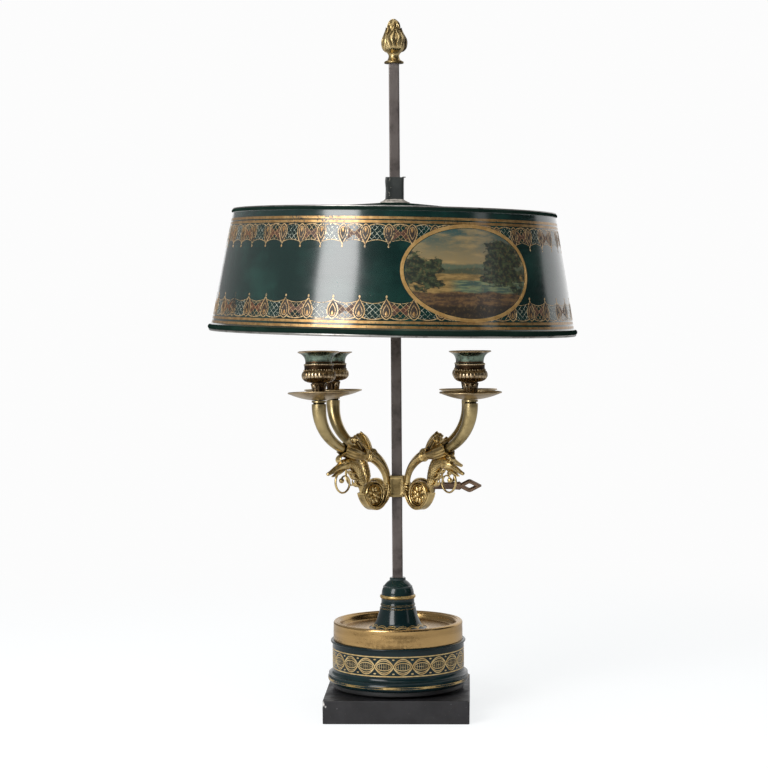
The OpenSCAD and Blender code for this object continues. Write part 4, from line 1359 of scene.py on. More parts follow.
@dataclass
class Drum(Part):
    """Black foot ring and the painted tin drum with its mouldings and gilded guilloche. The ring's
    near-black paint is partly its own black and partly painted shadow under the drum's moulding.
    """

    ring: float = 62.2
    ring_bore: float = 44.2
    ring_recess: float = 9.0
    ring_step: float = 2.5
    wall: float = 62.0
    tin: float = 1.0
    height: float = 39.0
    mould: float = 4.6
    cove: float = 3.6
    bead: float = 1.0
    flange: float = 4.6
    lenses: int = 22
    first_lens: float = -92.0
    foot_lines: int = 48
    border: tuple[float, float] = (14.8, 32.6)

    def build(self) -> None:
        """Makes the ring, the drum and the gilding on it."""
        ring = Solid("foot_ring")
        low, high = self.layout.ring_low, self.layout.drum_low
        foot, step = self.ring - self.ring_recess, low + self.ring_step
        corners = [
            (self.ring_bore, low), (foot, low), (foot, step), (self.ring, step), (self.ring, high),
            (self.ring_bore, high), (self.ring_bore, low),
        ]
        ring.grid(revolve(softened(corners, 0.5)[:-1], 160), closed=True)
        # The ring is painted near-black: its own black paint and painted shadow under the moulding.
        ring.finish(self.palette(Finish.BLACK_PAINT_AND_SHADE), "black_paint", "stand", ["foot_ring"])
        self.shell()
        self.gilding()

    def outline(self) -> Curve:
        """Outer outline of the drum over its foot: round moulding, cove, wall and bead."""
        m, c, centre = self.mould, self.cove, self.wall - 0.2
        shoulder = math.degrees(math.acos(3.6 / m))
        ledge = 2 * m - 0.2
        lip = math.degrees(math.acos(-(self.bead - 0.4) / self.bead))
        return chain(
            arc((centre, m), (m, m), -90, shoulder, 20),
            [(self.wall + c, ledge - 0.4)],
            arc((self.wall + c, ledge + c), (c, c), 270, 180, 9),
            [(self.wall, z) for z in np.linspace(ledge + c + 1, self.height - 1.2, 12)],
            arc((self.wall + 0.6, self.height), (self.bead, self.bead), -lip, lip, 14),
        )

    def shell(self) -> None:
        """Makes the tin wall, with a flange turned in under it."""
        centre, wall = self.wall - 0.2, self.wall - self.tin
        inner = [
            (wall, self.height + self.bead), (wall, self.mould + 1), (centre - self.flange + 1, self.tin),
            (centre - self.flange, self.tin), (centre - self.flange, 0.0),
        ]
        profile = chain(self.outline(), inner) + (0, self.layout.drum_low)
        rubbed = ease(profile[:, 0], self.wall + 2.5, self.wall + 5)[:, None] * np.ones(240)
        drum = Solid("painted_drum")
        drum.grid(revolve(profile, 240, self.dented), closed=True, wear=0.25 * rubbed)
        drum.finish(self.palette(Finish.DRUM_TOLE), "painted_tin", "stand", ["drum_wall"])

    def dented(self, angle: Points, z: Points) -> Points:
        """Slight waves of hand-raised tin."""
        slow = 0.12 * np.sin(3 * angle + 0.05 * z) * ease(z, 30, 45)
        return slow + 0.05 * np.sin(11 * angle + 1 + 0.1 * z)

    def gilding(self) -> None:
        """Paints the two lines, the guilloche between them and the rubbed line on the foot."""
        outline = self.outline() + (0, self.layout.drum_low)
        keep = outline[:, 1] > self.layout.drum_low + 13
        wall = Wall(outline[keep][:-14], self.wall, self.first_lens, self.dented)
        base = float(wall.outline[0, 1]) - self.layout.drum_low
        low, high = self.border[0] - base, self.border[1] - base
        solid = Solid("drum_gilding")
        pitch = wall.girth / self.lenses
        edges = Motif()
        for b in (low, high):
            edges.level(pitch, 13, b, 1.1)
        every = np.arange(self.lenses) * pitch
        edges.paint(solid, wall, every)
        mid, rise = (low + high) / 2, (high - low) / 2
        motif = Motif()
        t = np.linspace(0, 1, 17)
        for swing, width in ((rise - 1.7, 0.9), (rise - 3.3, 0.75)):
            for sign in (-1, 1):
                wave = mid + sign * swing * np.sin(np.pi * t) ** 0.7
                motif.line(np.stack([t * pitch, wave], 1), width)
        half_w, half_h = pitch * 0.4, rise - 5.5
        ring = arc((pitch / 2, mid), (half_w, half_h), 0, 360, 24)[:-1]
        motif.line(ring, 0.8, closed=True)
        for k in np.linspace(-1, 1, 7)[1:-1]:
            reach = (half_h - 0.8) * math.sqrt(1 - k * k)
            x = pitch / 2 + k * (half_w - 0.8)
            motif.line([(x, mid - reach), (x, mid), (x, mid + reach)], 0.42)
        left, middle, right = pitch / 2 - half_w + 0.8, pitch / 2, pitch / 2 + half_w - 0.8
        motif.line([(left, mid), (middle, mid), (right, mid)], 0.42)
        for sign in (-1, 1):
            curl = arc((0, mid + sign * (rise - 2.4)), (1.3, 0.7), 0, 360, 12)[:-1]
            motif.touch(curl)
        motif.paint(solid, wall, every)
        m = self.mould
        moulding = arc((self.wall - 0.2, self.layout.drum_low + m), (m, m), -30, 38, 12)
        foot = Wall(moulding, self.wall + 5, 0.0)
        worn = Motif()
        worn.level(foot.girth / self.foot_lines, 5, foot.length * 0.42, 2.1)
        worn.paint(solid, foot, np.arange(self.foot_lines) * foot.girth / self.foot_lines)
        solid.slots[-1] = np.ones_like(solid.slots[-1])
        solid.finish(self.palette(Finish.DRUM_GOLD, Finish.FOOT_GOLD), "gilt_bronze", "stand")


@dataclass
class Dish(Part):
    """Spun brass dish that drops into the drum's mouth, with a double bead on its rim."""

    skirt: float = 60.9
    metal: float = 1.5
    basin: float = 53.9
    floor: float = 51.0
    bore: float = 4.2

    def build(self) -> None:
        """Spins the dish: skirt, rim, double bead, basin wall and floor, and back underneath."""
        s, frame = self.skirt, self.layout
        z0, z1, z2 = frame.dish_skirt, frame.dish_crest, frame.dish_floor
        outer = [
            (s - self.metal, z0), (s, z0), (s, z1 - 8), (s - 0.15, z1 - 4.5), (s, z1 - 1.6),
            (s - 0.5, z1 - 0.5), (s - 1.5, z1), (s - 2.1, z1 - 0.5), (s - 2.7, z1 - 0.6),
            (s - 3.2, z1 - 0.1), (s - 4.1, z1), (s - 4.7, z1 - 0.9), (s - 5.4, z1 - 1.1),
            (s - 6.2, z1 - 1.9), (self.basin, z1 - 3.6), (self.basin, z2 + 3.0),
            (self.basin - 1.2, z2 + 0.7), (self.floor, z2), (30.0, z2), (self.bore, z2),
        ]
        under = [
            (self.bore, z2 - self.metal), (30.0, z2 - self.metal), (self.basin, z2 - self.metal),
            (self.basin + self.metal, z2), (s - self.metal - 2.4, z1 - 5), (s - self.metal, z1 - 7),
            (s - self.metal, z0),
        ]
        profile = chain(softened(outer, 0.6, 3), under)[:-1]

        def beaten(angle: Points, z: Points) -> Points:
            """Small dents in the spun wall."""
            return 0.1 * np.sin(5 * angle + 0.3 * z) + 0.06 * np.sin(13 * angle + 2)

        dish = Solid("brass_dish_spun")
        dish.grid(revolve(profile, 200, beaten), closed=True)
        dish.finish(self.palette(Finish.DISH), "dish_brass", "stand", ["brass_dish"], sharp=50)


@dataclass
class BellFoot(Part):
    """Painted bell with a gilt ring at its waist, gilt lines and a scalloped border at its foot."""

    foot: float = 27.3
    waist: float = 15.7
    flare_h: float = 19.0
    ring_h: float = 29.7
    collar: float = 7.6
    collar_h: float = 2.5
    wall: float = 1.2
    scallops: int = 14
    first_scallop: float = -90.0
    waist_lines: int = 24
    square: float = 4.9

    def build(self) -> None:
        """Turns the bell and paints its gilding."""
        z0, top = self.layout.dish_floor, self.layout.bell_top - self.layout.dish_floor
        w, h = self.waist, self.flare_h
        flare = bezier(
            [(self.foot, 0.25), (self.foot - 5.8, 1.5), (w + 3.3, h - 9), (w + 1.2, h - 0.6)], 16
        )
        dome_r, dome_z = self.waist - 0.4, self.ring_h + 1.8
        dome_b = (top - self.collar_h - dome_z) / math.sqrt(1 - (self.collar / dome_r) ** 2)
        dome_end = math.degrees(math.acos(self.collar / dome_r))
        lower = chain(
            [(self.foot, 0.0)],
            flare,
            arc((self.waist + 0.2, self.flare_h), (1.2, 0.8), -60, 70, 6),
            [(self.waist + 0.25, self.flare_h + 1.5)],
            arc((self.waist, self.flare_h + 3), (0.8, 0.8), -70, 70, 6),
            [(self.waist - 0.1, self.flare_h + 5), (self.waist - 0.15, self.ring_h - 2.2)],
        )
        ring = arc((self.waist - 0.6, self.ring_h), (1.8, 1.7), -75, 75, 8)
        upper = chain(
            [(dome_r + 0.2, dome_z - 0.2)],
            arc((0, dome_z), (dome_r, dome_b), 3, dome_end, 28),
            [(self.collar, top - self.collar_h + 0.2), (self.collar, top - 0.6), (self.collar - 0.5, top)],
        )
        outline = chain(lower, ring, upper)
        slots = np.zeros(len(outline) - 1, int)
        slots[len(lower) : len(lower) + len(ring) - 1] = 1
        bell = Solid("painted_bell")
        outer = revolve(outline + (0, z0), 96)
        bell.grid(outer, slot=slots, wear=0.2 * ease(outer[..., 2], z0 + 45, z0 + 47))
        count = outer.shape[1]
        hole = square_ring(np.array([self.square]), np.array([0.5]), count // 4)[0]
        shift = count // 8
        hole = np.roll(hole, -shift, 0)
        rows = [np.concatenate([hole, np.full((count, 1), z)], 1) for z in (z0 + top, z0 + top - 6.2)]
        inner = bezier(
            [(dome_r - 1.5, top - 8), (self.waist - 2, dome_z), (self.waist, 14), (self.foot - 6, 3)], 10
        )
        inner = chain([(self.collar + 1, top - 6.2)], inner, [(self.foot - self.wall, 0.0)])
        hollow = revolve(inner + (0, z0), count)
        bell.grid(np.concatenate([outer[-1:], np.stack(rows), hollow, outer[:1]]))
        bell.finish(self.palette(Finish.BELL_TOLE, Finish.FOOT_GOLD), "painted_tin", "stand", ["bell_foot"])
        self.gilding(lower + (0, z0))

    def gilding(self, outline: Curve) -> None:
        """Paints two lines under the waist and the scallops over the foot.

        Args:
            outline: The bell's outline from its foot to the ring.
        """
        wall = Wall(outline, self.foot - 3, self.first_scallop)
        solid = Solid("bell_gilding")
        heights = outline[:, 1] - outline[0, 1]
        lines = Motif()
        for rise, width in ((self.flare_h, 1.0), (self.flare_h + 3.0, 1.3)):
            lines.level(
                wall.girth / self.waist_lines, 4, float(np.interp(rise, heights, wall.along)), width
            )
        lines.paint(solid, wall, np.arange(self.waist_lines) * wall.girth / self.waist_lines)
        pitch = wall.girth / self.scallops
        t = np.linspace(0, 1, 13)
        border = Motif()
        edge = np.stack([t * pitch, 2.6 + 2.6 * np.abs(np.sin(np.pi * t)) ** 0.7], 1)
        border.line(edge, 0.9)
        border.line(edge + (0, 1.7), 0.5)
        border.touch(arc((0, 4.0), (0.7, 1.5), 0, 360, 10)[:-1])
        border.paint(solid, wall, np.arange(self.scallops) * pitch)
        solid.finish(self.palette(Finish.BELL_GOLD), "gilt_bronze", "stand")


# ---- The bar and its finial ----


@dataclass
class Bar(Part):
    """Square wrought bar with eased edges, a round tail through the base and a pin at the top."""

    edge: float = 0.7
    tail: float = 3.9
    tail_low: float = 2.5
    pin: float = 2.4
    pin_h: float = 9.0

    def build(self) -> None:
        """Draws the bar: rings of rounded squares up its length, with faint hammer waves."""
        half, low, top = self.layout.bar_half, self.layout.dish_floor, self.layout.bar_top
        heights = np.linspace(low, top, 150)
        rows = [
            (0.05, self.tail_low, 0.05), (self.tail, self.tail_low, self.tail), (self.tail, low, self.tail)
        ]
        rows += [(half - 0.35, low, self.edge), (half, low + 0.4, self.edge)]
        rows += [(half, z, self.edge) for z in heights[1:-1]]
        rows += [(half, top - 0.4, self.edge), (half - 0.35, top, self.edge)]
        rows += [
            (self.pin, top, self.pin), (self.pin, top + self.pin_h, self.pin),
            (0.05, top + self.pin_h, 0.05),
        ]
        size, z, corner = np.array(rows).T
        points = square_stack(size, z, corner, 14)
        wave = 0.05 * ripple(points, 26, 8) * (size > half - 0.1)[:, None]
        points[..., :2] -= np.sign(points[..., :2]) * np.abs(wave)[..., None]
        bar = Solid("wrought_bar")
        bar.tube(points)
        bar.finish(self.palette(Finish.BAR), "bar_iron", "stand", ["bar"])


@dataclass
class Finial(Part):
    """Cast flame: a waisted foot and a bud of flame tongues whose tips stand off it."""

    foot: float = 9.2
    neck: float = 4.9
    flame: float = 12.3
    pin: float = 2.45

    def build(self) -> None:
        """Casts the foot and core, then lays three rows of flame tongues on it."""
        z0, height = self.layout.bar_top, self.layout.finial_top - self.layout.bar_top
        f, n, r = self.foot, self.neck, self.flame
        low = chain(
            [(self.pin, 10.0), (self.pin, 0.0)],
            softened([(self.pin, 0.0), (f - 0.2, 0.0), (f, 0.9), (f - 0.3, 1.8), (f - 1.4, 2.3)], 0.5),
            bezier([(f - 1.6, 2.4), (6.0, 3.0), (n, 4.8), (n, 7.4)], 8),
            bezier([(n, 7.4), (n + 0.4, 8.8), (6.2, 9.8), (7.0, 10.4)], 4),
        )
        bud = chain(
            bezier([(7.0, 10.4), (10.4, 12.2), (r - 1.3, 14.5), (r - 1.3, 19.0)], 14),
            bezier([(r - 1.3, 19.0), (r - 1.3, 24.0), (6.6, 26.5), (5.2, 31.5)], 14),
            bezier([(5.2, 31.5), (4.6, 35.5), (3.6, height - 1.6), (0.02, height - 0.6)], 12),
        )
        solid = Solid("flame_finial")
        foot = revolve(low, 72)
        solid.grid(np.concatenate([foot[:1] * (0.01, 0.01, 1), foot]))

        def licks(angle: Points, z: Points) -> Points:
            """Grooves between the tongues, twisting as they rise."""
            twist = 7 * (angle + 0.05 * (z - 11))
            groove = 0.55 * np.abs(np.sin(twist / 2)) ** 0.7 - 0.35
            return groove * ease(z, 10.4, 14) * ease(height - z, 0, 8)

        solid.grid(revolve(bud, 112, licks))
        tiers = (
            (7, 11.0, 33.0, 5.2, 2.6, 0.0),
            (6, 20.5, 39.0, 3.2, 0.7, 0.45),
            (4, 30.5, height - 0.8, 2.0, 0.2, 0.2),
        )
        for tier, (count, low, high, size, lift, turn) in enumerate(tiers):
            for k in range(count):
                bearing = 2 * math.pi * k / count + turn
                self.tongue(solid, bud, bearing, low, high, size, lift, 40 + tier)
        solid.placed(lambda p: p + (0, 0, z0))
        solid.finish(self.palette(Finish.FINIAL), "gilt_bronze", "stand", ["finial"], sharp=55)

    def tongue(
        self,
        solid: Solid,
        core: Curve,
        bearing: float,
        low: float,
        high: float,
        size: float,
        lift: float,
        seed: int,
    ) -> None:
        """Lays one flame tongue on the core.

        Formula: its middle line climbs the core and lifts off it towards a tip, and its width
        swells as sin(pi t) skewed to the foot; three ridges run along it.

        Args:
            solid: Collects the points.
            core: Outline of the bud.
            bearing: Where it stands, in radians.
            low: Height of its foot.
            high: Height of its tip.
            size: Half width at its widest.
            lift: How far the tip stands off the core.
            seed: Picks its small waves.
        """
        t = np.linspace(0, 1, 18)[:, None]
        s = np.linspace(-1, 1, 9)[None, :]
        z = low + (high - low) * t
        order = np.argsort(core[:, 1])
        base = np.interp(z, core[order, 1], core[order, 0])
        width = size * np.sin(np.pi * np.clip(t * 0.86 + 0.14, 0, 1)) ** 0.75 * (1 - 0.25 * t)
        sway = 0.22 * np.sin(2.4 * np.pi * t + bearing * 3) * t
        ridge = 0.5 * np.cos(3 * np.pi * s) * (1 - s**2) + 0.8 * (1 - s**2)
        radius = base + 0.35 + lift * t**3 + ridge * np.sin(np.pi * np.clip(t + 0.08, 0, 1)) ** 0.5
        angle = bearing + sway + s * width / np.maximum(base + 1.5, 2.0)
        front = np.stack(
            [radius * np.cos(angle), radius * np.sin(angle), z + 0.5 * (1 - s**2) * t + 0 * angle], -1
        )
        back_r = np.maximum(radius - 0.5 - 1.1 * (1 - s**2), 0.1)
        back = np.stack([back_r * np.cos(angle), back_r * np.sin(angle), z - 0.2 + 0 * angle], -1)
        front[..., :2] += 0.06 * ripple(front, 3, seed)[..., None]
        solid.tube(np.concatenate([front, back[:, ::-1]], 1))


# ---- The candle bracket ----


@dataclass
class Collar(Part):
    """Square sliding collar with recessed panels and a round boss for the key."""

    half: float = 9.0
    height: float = 20.0
    bevel: float = 3.4
    bore: float = 5.3
    panel: float = 0.5
    rim: float = 2.4
    boss: float = 4.5
    thread: float = 2.5

    def build(self) -> None:
        """Makes the collar: a bevelled square ring whose faces are pressed in at their middles."""
        h, e = self.height / 2, 0.4
        rows = [(self.bore, -h, 0.5), (self.half - e, -h, self.bevel), (self.half, -h + e, self.bevel)]
        rows += [(self.half, z, self.bevel) for z in np.linspace(-h + 0.9, h - 0.9, 27)]
        rows += [(self.half, h - e, self.bevel), (self.half - e, h, self.bevel), (self.bore, h, 0.5)]
        size, z, corner = np.array(rows).T
        points = square_stack(size, z, corner, 20)
        x, y = points[..., 0], points[..., 1]
        outside = (size > self.half - 0.01)[:, None]
        for axis, across in ((0, y), (1, x)):
            flat = self.half - self.bevel - self.rim * 0.35
            sunk = ease(flat - np.abs(across), 0, 0.7) * ease(h - self.rim - np.abs(z)[:, None], 0, 0.7)
            face = (np.abs(points[..., axis]) > self.half - 0.2) & outside
            if axis == 0:
                face &= points[..., 0] < 0
            points[..., axis] -= np.sign(points[..., axis]) * np.where(face, self.panel * sunk, 0)
        collar = Solid("bracket_collar")
        collar.grid(points, closed=True)
        t, b = self.thread, self.boss
        boss = chain([(t, 0.0)], softened([(t, 0.0), (b + 0.5, 0.0), (b, 0.8), (b, 3.6), (t, 3.6)], 0.4))
        turned_boss = revolve(boss, 40)[..., AXIS_ALONG_X] + (self.half - 0.2, 0, 0)
        collar.grid(turned_boss)
        mid = (0, 0, self.layout.collar_mid)
        collar.placed(lambda p: turned(p + mid, self.layout.tilt, "X", mid))
        collar.finish(self.palette(Finish.GILT), "gilt_bronze", "bracket", ["collar"])


@dataclass
class Arm(Part):
    """One arm: scrolled stem, bearded beast, leaf cup, horn, drip pan and candle socket.

    Its pieces are made in the arm's own plane: u runs out from the bar, v across and w up from the
    collar's middle.
    """

    name: str
    stem: tuple = ((14.35, 2.4), (14.35, 18.4), (31.3, 28.5), (45.0, 30.9))
    horn_line: tuple = ((45.0, 30.9), (76.7, 33.9), (102.6, 50.4), (102.6, 76.4))
    scroll_in: tuple = ((14.35, 2.4), (14.35, -9.0), (21.85, -19.5), (31.4, -19.5))
    scroll_out: tuple = ((31.4, -19.5), (39.4, -19.5), (46.4, -11.5), (48.4, -4.0))
    neck: tuple = ((48.4, -3.95), (48.4, 11.05), (54.0, 26.55), (68.4, 23.55))
    head: tuple = ((67.9, 23.6), (75.4, 22.95), (83.4, 18.05), (91.4, 15.3))
    rosette: tuple[float, float] = (32.6, -6.4)
    rosette_r: float = 12.7
    beard: tuple[float, float, float] = (71.6, 7.45, 10.4)
    curl: tuple = ((62.5, 30.5), (75.0, 36.0), (84.0, 27.5), (73.5, 23.5))
    leaf_tip: tuple[float, float] = (58.0, 45.1)
    horn_r: float = 6.6
    show: float = 0.27
    pan_w: float = 82.5
    pan_r: float = 28.4
    pan_depth: float = 7.5
    sag: Mapping[str, float] = field(default_factory=lambda: {"front_left": 3.0, "front_right": 1.4})
    cup_w: float = 83.3
    cup_h: float = 43.6
    rim: float = 19.0

    def place(self, points: Points) -> Points:
        """Turns points of the arm's plane to their place on the lamp.

        Args:
            points: Array (..., 3) of u, v and w.
        Returns:
            The points as x, y and z.
        """
        mid = self.layout.collar_mid
        out = turned(points + (0, 0, mid), self.layout.bearings[self.name], "Z")
        return turned(out, self.layout.tilt, "X", (0, 0, mid))

    def sagged(self, points: Points) -> Points:
        """Points over the horn's mouth, turned outward-down as far as this arm's screw lets them.

        Args:
            points: Array (..., 3) in the arm's plane.
        Returns:
            The turned points.
        """
        out = turned(points, -self.layout.bearings[self.name], "Z", (self.layout.reach, 0, 0))
        out = turned(out, self.sag.get(self.name, 0.0), "Y", (self.layout.reach, 0, self.pan_w))
        return turned(out, self.layout.bearings[self.name], "Z", (self.layout.reach, 0, 0))

    def done(
        self, solid: Solid, finishes: Sequence[Finish], slot: str, node: str, sharp: float = 42
    ) -> None:
        """Places a finished piece on the lamp and hands it to its body and node."""
        solid.placed(self.place)
        solid.finish(self.palette(*finishes), slot, "bracket", [f"{node}_{self.name}"], sharp=sharp)

    def build(self) -> None:
        """Makes every piece of the arm."""
        self.scroll_arm()
        self.beast()
        self.leaf_cup()
        self.horn()
        self.pan()
        self.socket()

    def scroll_arm(self) -> None:
        """The stem with its three rings, the scroll below it and the rosette inside the scroll."""
        solid = Solid("scroll_arm_" + self.name)
        path = even(bezier(self.stem, 40), 40)
        radius = 2.7 + 1.4 * np.linspace(0, 1, len(path))
        solid.tube(swept(path, radius, radius, lobed_section(28, 9, 0.05)))
        for w in (-2.8, -0.2, 2.4):
            ring = arc((2.35, w), (1.0, 1.0), 0, 360, 12)[:-1]
            solid.grid(revolve(ring, 28) + (self.stem[0][0], 0, 0), closed=True)
        knee = path[int(len(path) * 0.84)], directions(path)[int(len(path) * 0.84)]
        beads = arc((0, 0), (1, 1), 0, 180, 14)
        for shift, size, length in ((-2.1, 4.6, 0.9), (0.0, 5.2, 1.3), (2.1, 4.7, 0.9)):
            line = knee[0] + knee[1] * (shift + length * beads[::-1, :1])
            swell = 3.2 + (size - 3.2) * beads[:, 1]
            solid.tube(swept(line, swell, swell, round_section(28)))
        scroll = even(chain(bezier(self.scroll_in, 30), bezier(self.scroll_out, 26)), 72)
        solid.tube(swept(scroll, 1.3, 4.0, rounded_square(6, 40)))
        for side in (-1, 1):
            for shift in (-0.95, 0.95):
                d = directions(scroll)
                edge = scroll + np.stack([-d[:, 1], d[:, 0]], 1) * shift
                solid.tube(swept(edge, 0.42, 0.45, round_section(10)) + (0, side * 3.9, 0))
        self.rose(solid)
        self.done(solid, [Finish.GILT], "gilt_bronze", "scroll_arm")

    def rose(self, solid: Solid) -> None:
        """Rosette: two rings round a beaded disc with eight petals and a knob, on both sides."""
        cu, cw = self.rosette
        r = self.rosette_r
        for radius, tube, deep in ((r - 1.1, 1.15, 3.7), (r - 3.3, 0.7, 2.9)):
            section = arc((radius, 0), (tube, deep), 0, 360, 20)[:-1]
            solid.grid(revolve(section, 56)[..., AXIS_ACROSS] + (cu, 0, cw), closed=True)
        disc = chain([(0.05, -2.3)], arc((0, 0), (r - 2.2, 1.7), -80, 80, 10), [(0.05, 2.3)])
        solid.grid(revolve(disc, 56)[..., AXIS_ACROSS] + (cu, 0, cw))
        for side in (-1, 1):
            solid.grid(ball(2.6, 2.4, 10, 20)[..., AXIS_ACROSS] + (cu, side * 2.2, cw))
            for k in range(8):
                a = math.pi * (k + 0.5) / 4
                petal = ball(1, 1, 8, 14) * (2.9, 1.75, 1.5)
                petal = turned(petal[..., AXIS_ACROSS], -math.degrees(a), "Y")
                solid.grid(petal + (cu + 5.6 * math.cos(a), side * 1.7, cw + 5.6 * math.sin(a)))

    def beast(self) -> None:
        """The beast: scaly arched neck, long head with brow and bill, a curl and a thin beard."""
        solid = Solid("beast_" + self.name)
        neck = even(bezier(self.neck, 60), 64)
        t = np.linspace(0, 1, len(neck))
        row = np.arange(len(neck))[:, None]
        around = np.linspace(0, 2 * np.pi, 64, endpoint=False)[None, :]
        scales = 0.1 * np.abs(np.cos(7 * around + row // 4 * np.pi / 2)) * (1 - row % 4 / 4)
        section = round_section(64)[None] * (1 + scales * ease(t, 0.08, 0.2)[:, None])[..., None]
        section = section * (1, 0.94)
        solid.tube(swept_each(neck, 1.7 + 3.1 * ease(t, 0.02, 0.3) + 0.2 * t, section))
        head = even(bezier(self.head, 40), 40)
        t = np.linspace(0, 1, len(head))
        brow = 1 + 0.14 * np.exp(-(((t - 0.2) / 0.12) ** 2)) - 0.1 * np.exp(-(((t - 0.45) / 0.12) ** 2))
        high, wide = (5.1 - 3.5 * t**0.9) * brow, (4.7 - 3.1 * t**0.8) * brow
        solid.tube(swept(head, high, wide, round_section(32)))
        bill = ball(1.7, 1.9, 8, 16)[..., AXIS_ACROSS]
        solid.grid(bill + (self.head[3][0], 0, self.head[3][1]))
        for side in (-1, 1):
            eye = ball(1.3, 1.0, 8, 16)[..., AXIS_ACROSS]
            solid.grid(eye + (73.0, side * 4.1, 25.0))
            lid = arc((0, 0), (2.3, 1.7), 10, 175, 12) + (73.0, 24.8)
            solid.tube(swept(lid, 0.5, 0.7, round_section(10)) + (0, side * 4.0, 0))
            jaw = bezier([(68.0, 20.2), (74.0, 17.6), (80.0, 15.0), (86.0, 12.6)], 16)
            taper = 1.5 * np.sin(np.pi * np.linspace(0.12, 0.95, len(jaw))) + 0.25
            solid.tube(swept(jaw, taper, taper, round_section(14)) + (0, side * 0.9, 0))
        cu, cw, r = self.beard
        a = np.radians(62 - np.linspace(0, 400, 90))
        t = np.linspace(0, 1, 90)
        size = r * (1 - 0.74 * np.clip((t - 0.35) / 0.65, 0, 1) ** 1.1)
        spiral = np.stack([cu + size * np.cos(a), cw + size * np.sin(a)], 1)
        solid.tube(swept(spiral, 0.95 - 0.25 * t, 1.25 - 0.25 * t, round_section(14)))
        knob = ball(2.4, 2.4, 12, 24)[..., AXIS_ACROSS]
        solid.grid(knob + (spiral[-1, 0], 0, spiral[-1, 1]))
        for control, size in (
            ([(49.5, 3.0), (54.0, 1.5), (59.0, 4.0), (58.5, 8.5)], 1.7),
            ([(51.5, 9.5), (57.0, 8.0), (62.5, 11.0), (61.5, 15.5)], 1.6),
            ([(56.0, 15.5), (61.0, 13.0), (66.0, 15.5), (66.5, 19.0)], 1.5),
        ):
            curl = bezier(control, 14)
            taper = size * np.sin(np.pi * np.linspace(0.3, 0.97, len(curl))) + 0.2
            for side in (-1, 1):
                solid.tube(swept(curl, taper * 0.7, taper, round_section(12)) + (0, side * 1.6, 0))
        curl = even(bezier(self.curl, 40), 34)
        taper = np.linspace(0.9, 1.4, len(curl))
        solid.tube(swept(curl, taper * 0.7, 3.7 * np.linspace(0.75, 1, len(curl)), rounded_square(3, 24)))
        self.done(solid, [Finish.GILT], "gilt_bronze", "beast", sharp=50)

    def leaf_cup(self) -> None:
        """Leaf that wraps the horn's root, with a beaded ridge and a tip rolled back to the bar."""
        solid = Solid("leaf_cup_" + self.name)
        path = bezier(self.horn_line, 60)[: int(60 * self.show * 1.25)]
        path = even(path, 30)
        t = np.linspace(0, 1, len(path))
        radius = 4.4 + 2.1 * ease(t, 0, 0.6)
        around = np.linspace(0, 2 * np.pi, 60, endpoint=False)[None, :]
        veins = 0.035 * np.cos(12 * around) * ease(t, 0.1, 0.4)[:, None]
        frill = 1 + veins + 0.07 * ease(t, 0.8, 1.0)[:, None] * np.cos(6 * around)
        section = round_section(60)[None] * frill[..., None]
        inside = swept_each(path, radius - 0.9, section)[::-1]
        solid.grid(np.concatenate([swept_each(path, radius, section), inside]), closed=True)
        tu, tw = self.leaf_tip
        spine = chain(
            bezier([(42.5, 33.0), (45.0, 38.0), (50.0, 44.5), (tu - 1.6, tw + 3.2)], 20),
            arc((tu, tw), (3.4, 3.4), 110, -200, 26)[1:],
        )
        spine = even(spine, 54)
        t = np.linspace(0, 1, len(spine))
        half = 6.4 * np.sin(np.pi * np.clip(0.2 + 0.62 * t, 0, 1)) ** 0.8
        s = np.linspace(-1, 1, 25)[None, :]
        d = directions(spine)
        side = np.stack([-d[:, 1], d[:, 0]], 1)
        arch = -2.4 * s**2 * (half / 6.4)[:, None] + 0.25 * np.cos(4 * np.pi * s)
        u, w = (spine[:, None, k] + side[:, None, k] * arch for k in (0, 1))
        grid = np.stack([u, half[:, None] * s, w], -1)
        under = grid - np.stack([side[:, 0], 0 * t, side[:, 1]], -1)[:, None] * 0.9
        solid.tube(np.concatenate([grid, under[:, ::-1]], 1))
        web = bezier([(47.0, 31.0), (52.0, 37.0), (57.0, 40.0), (64.0, 37.0)], 20)
        solid.tube(swept(web, 2.6 * np.sin(np.pi * np.linspace(0.1, 0.9, 21)), 2.2, round_section(18)))
        bead = ball(0.95, 0.95, 6, 10)
        places = even(spine[2:30], 13)
        solid.grid(np.stack([bead + (u - 0.5, 0, w + 0.6) for u, w in places]))
        self.done(solid, [Finish.GILT], "gilt_bronze", "leaf_cup", sharp=55)

    def horn(self) -> None:
        """The horn: a plain curved cone that ends in a turned shoulder under the pan."""
        line = bezier(self.horn_line, 80)
        start = int(80 * 0.14)
        path = even(line[start:], 56)
        t = np.linspace(0, 1, len(path))
        radius = 3.6 + (self.horn_r - 3.6) * t
        grid = swept(path, radius, radius, round_section(40))
        reach = self.layout.reach
        seat = self.pan_w - 0.1
        top = chain(
            [(6.6, 75.9), (6.65, 79.2), (5.2, 79.5), (5.2, 80.5), (6.6, 80.8), (6.6, seat), (0.05, seat)]
        )
        solid = Solid("horn_" + self.name)
        cap = revolve(top, 40) + (reach, 0, 0)
        solid.tube(grid)
        solid.grid(np.concatenate([cap[:1] * (0, 0, 1) + (reach, 0, 0), cap]))
        self.done(solid, [Finish.HORN], "horn_brass", "horn")

    def pan(self) -> None:
        """Thin spun drip pan with a turned-over edge."""
        r, depth, low = self.pan_r, self.pan_depth, self.pan_w
        radii = np.linspace(2.3, r - 0.7, 24)
        upper = np.stack([radii, low + 0.8 + (depth - 1.0) * (radii / r) ** 2], 1)
        lower = np.stack([radii, low + (depth - 1.0) * (radii / r) ** 2], 1)
        lip = arc((r - 0.75, low + depth - 0.75), (0.75, 0.75), 200, -80, 12)
        profile = chain(upper, lip, lower[::-1])

        def uneven(angle: Points, z: Points) -> Points:
            """Slight waves of a hand-spun edge."""
            return 0.12 * np.sin(3 * angle + 1) * ease(z, low + 3, low + depth)

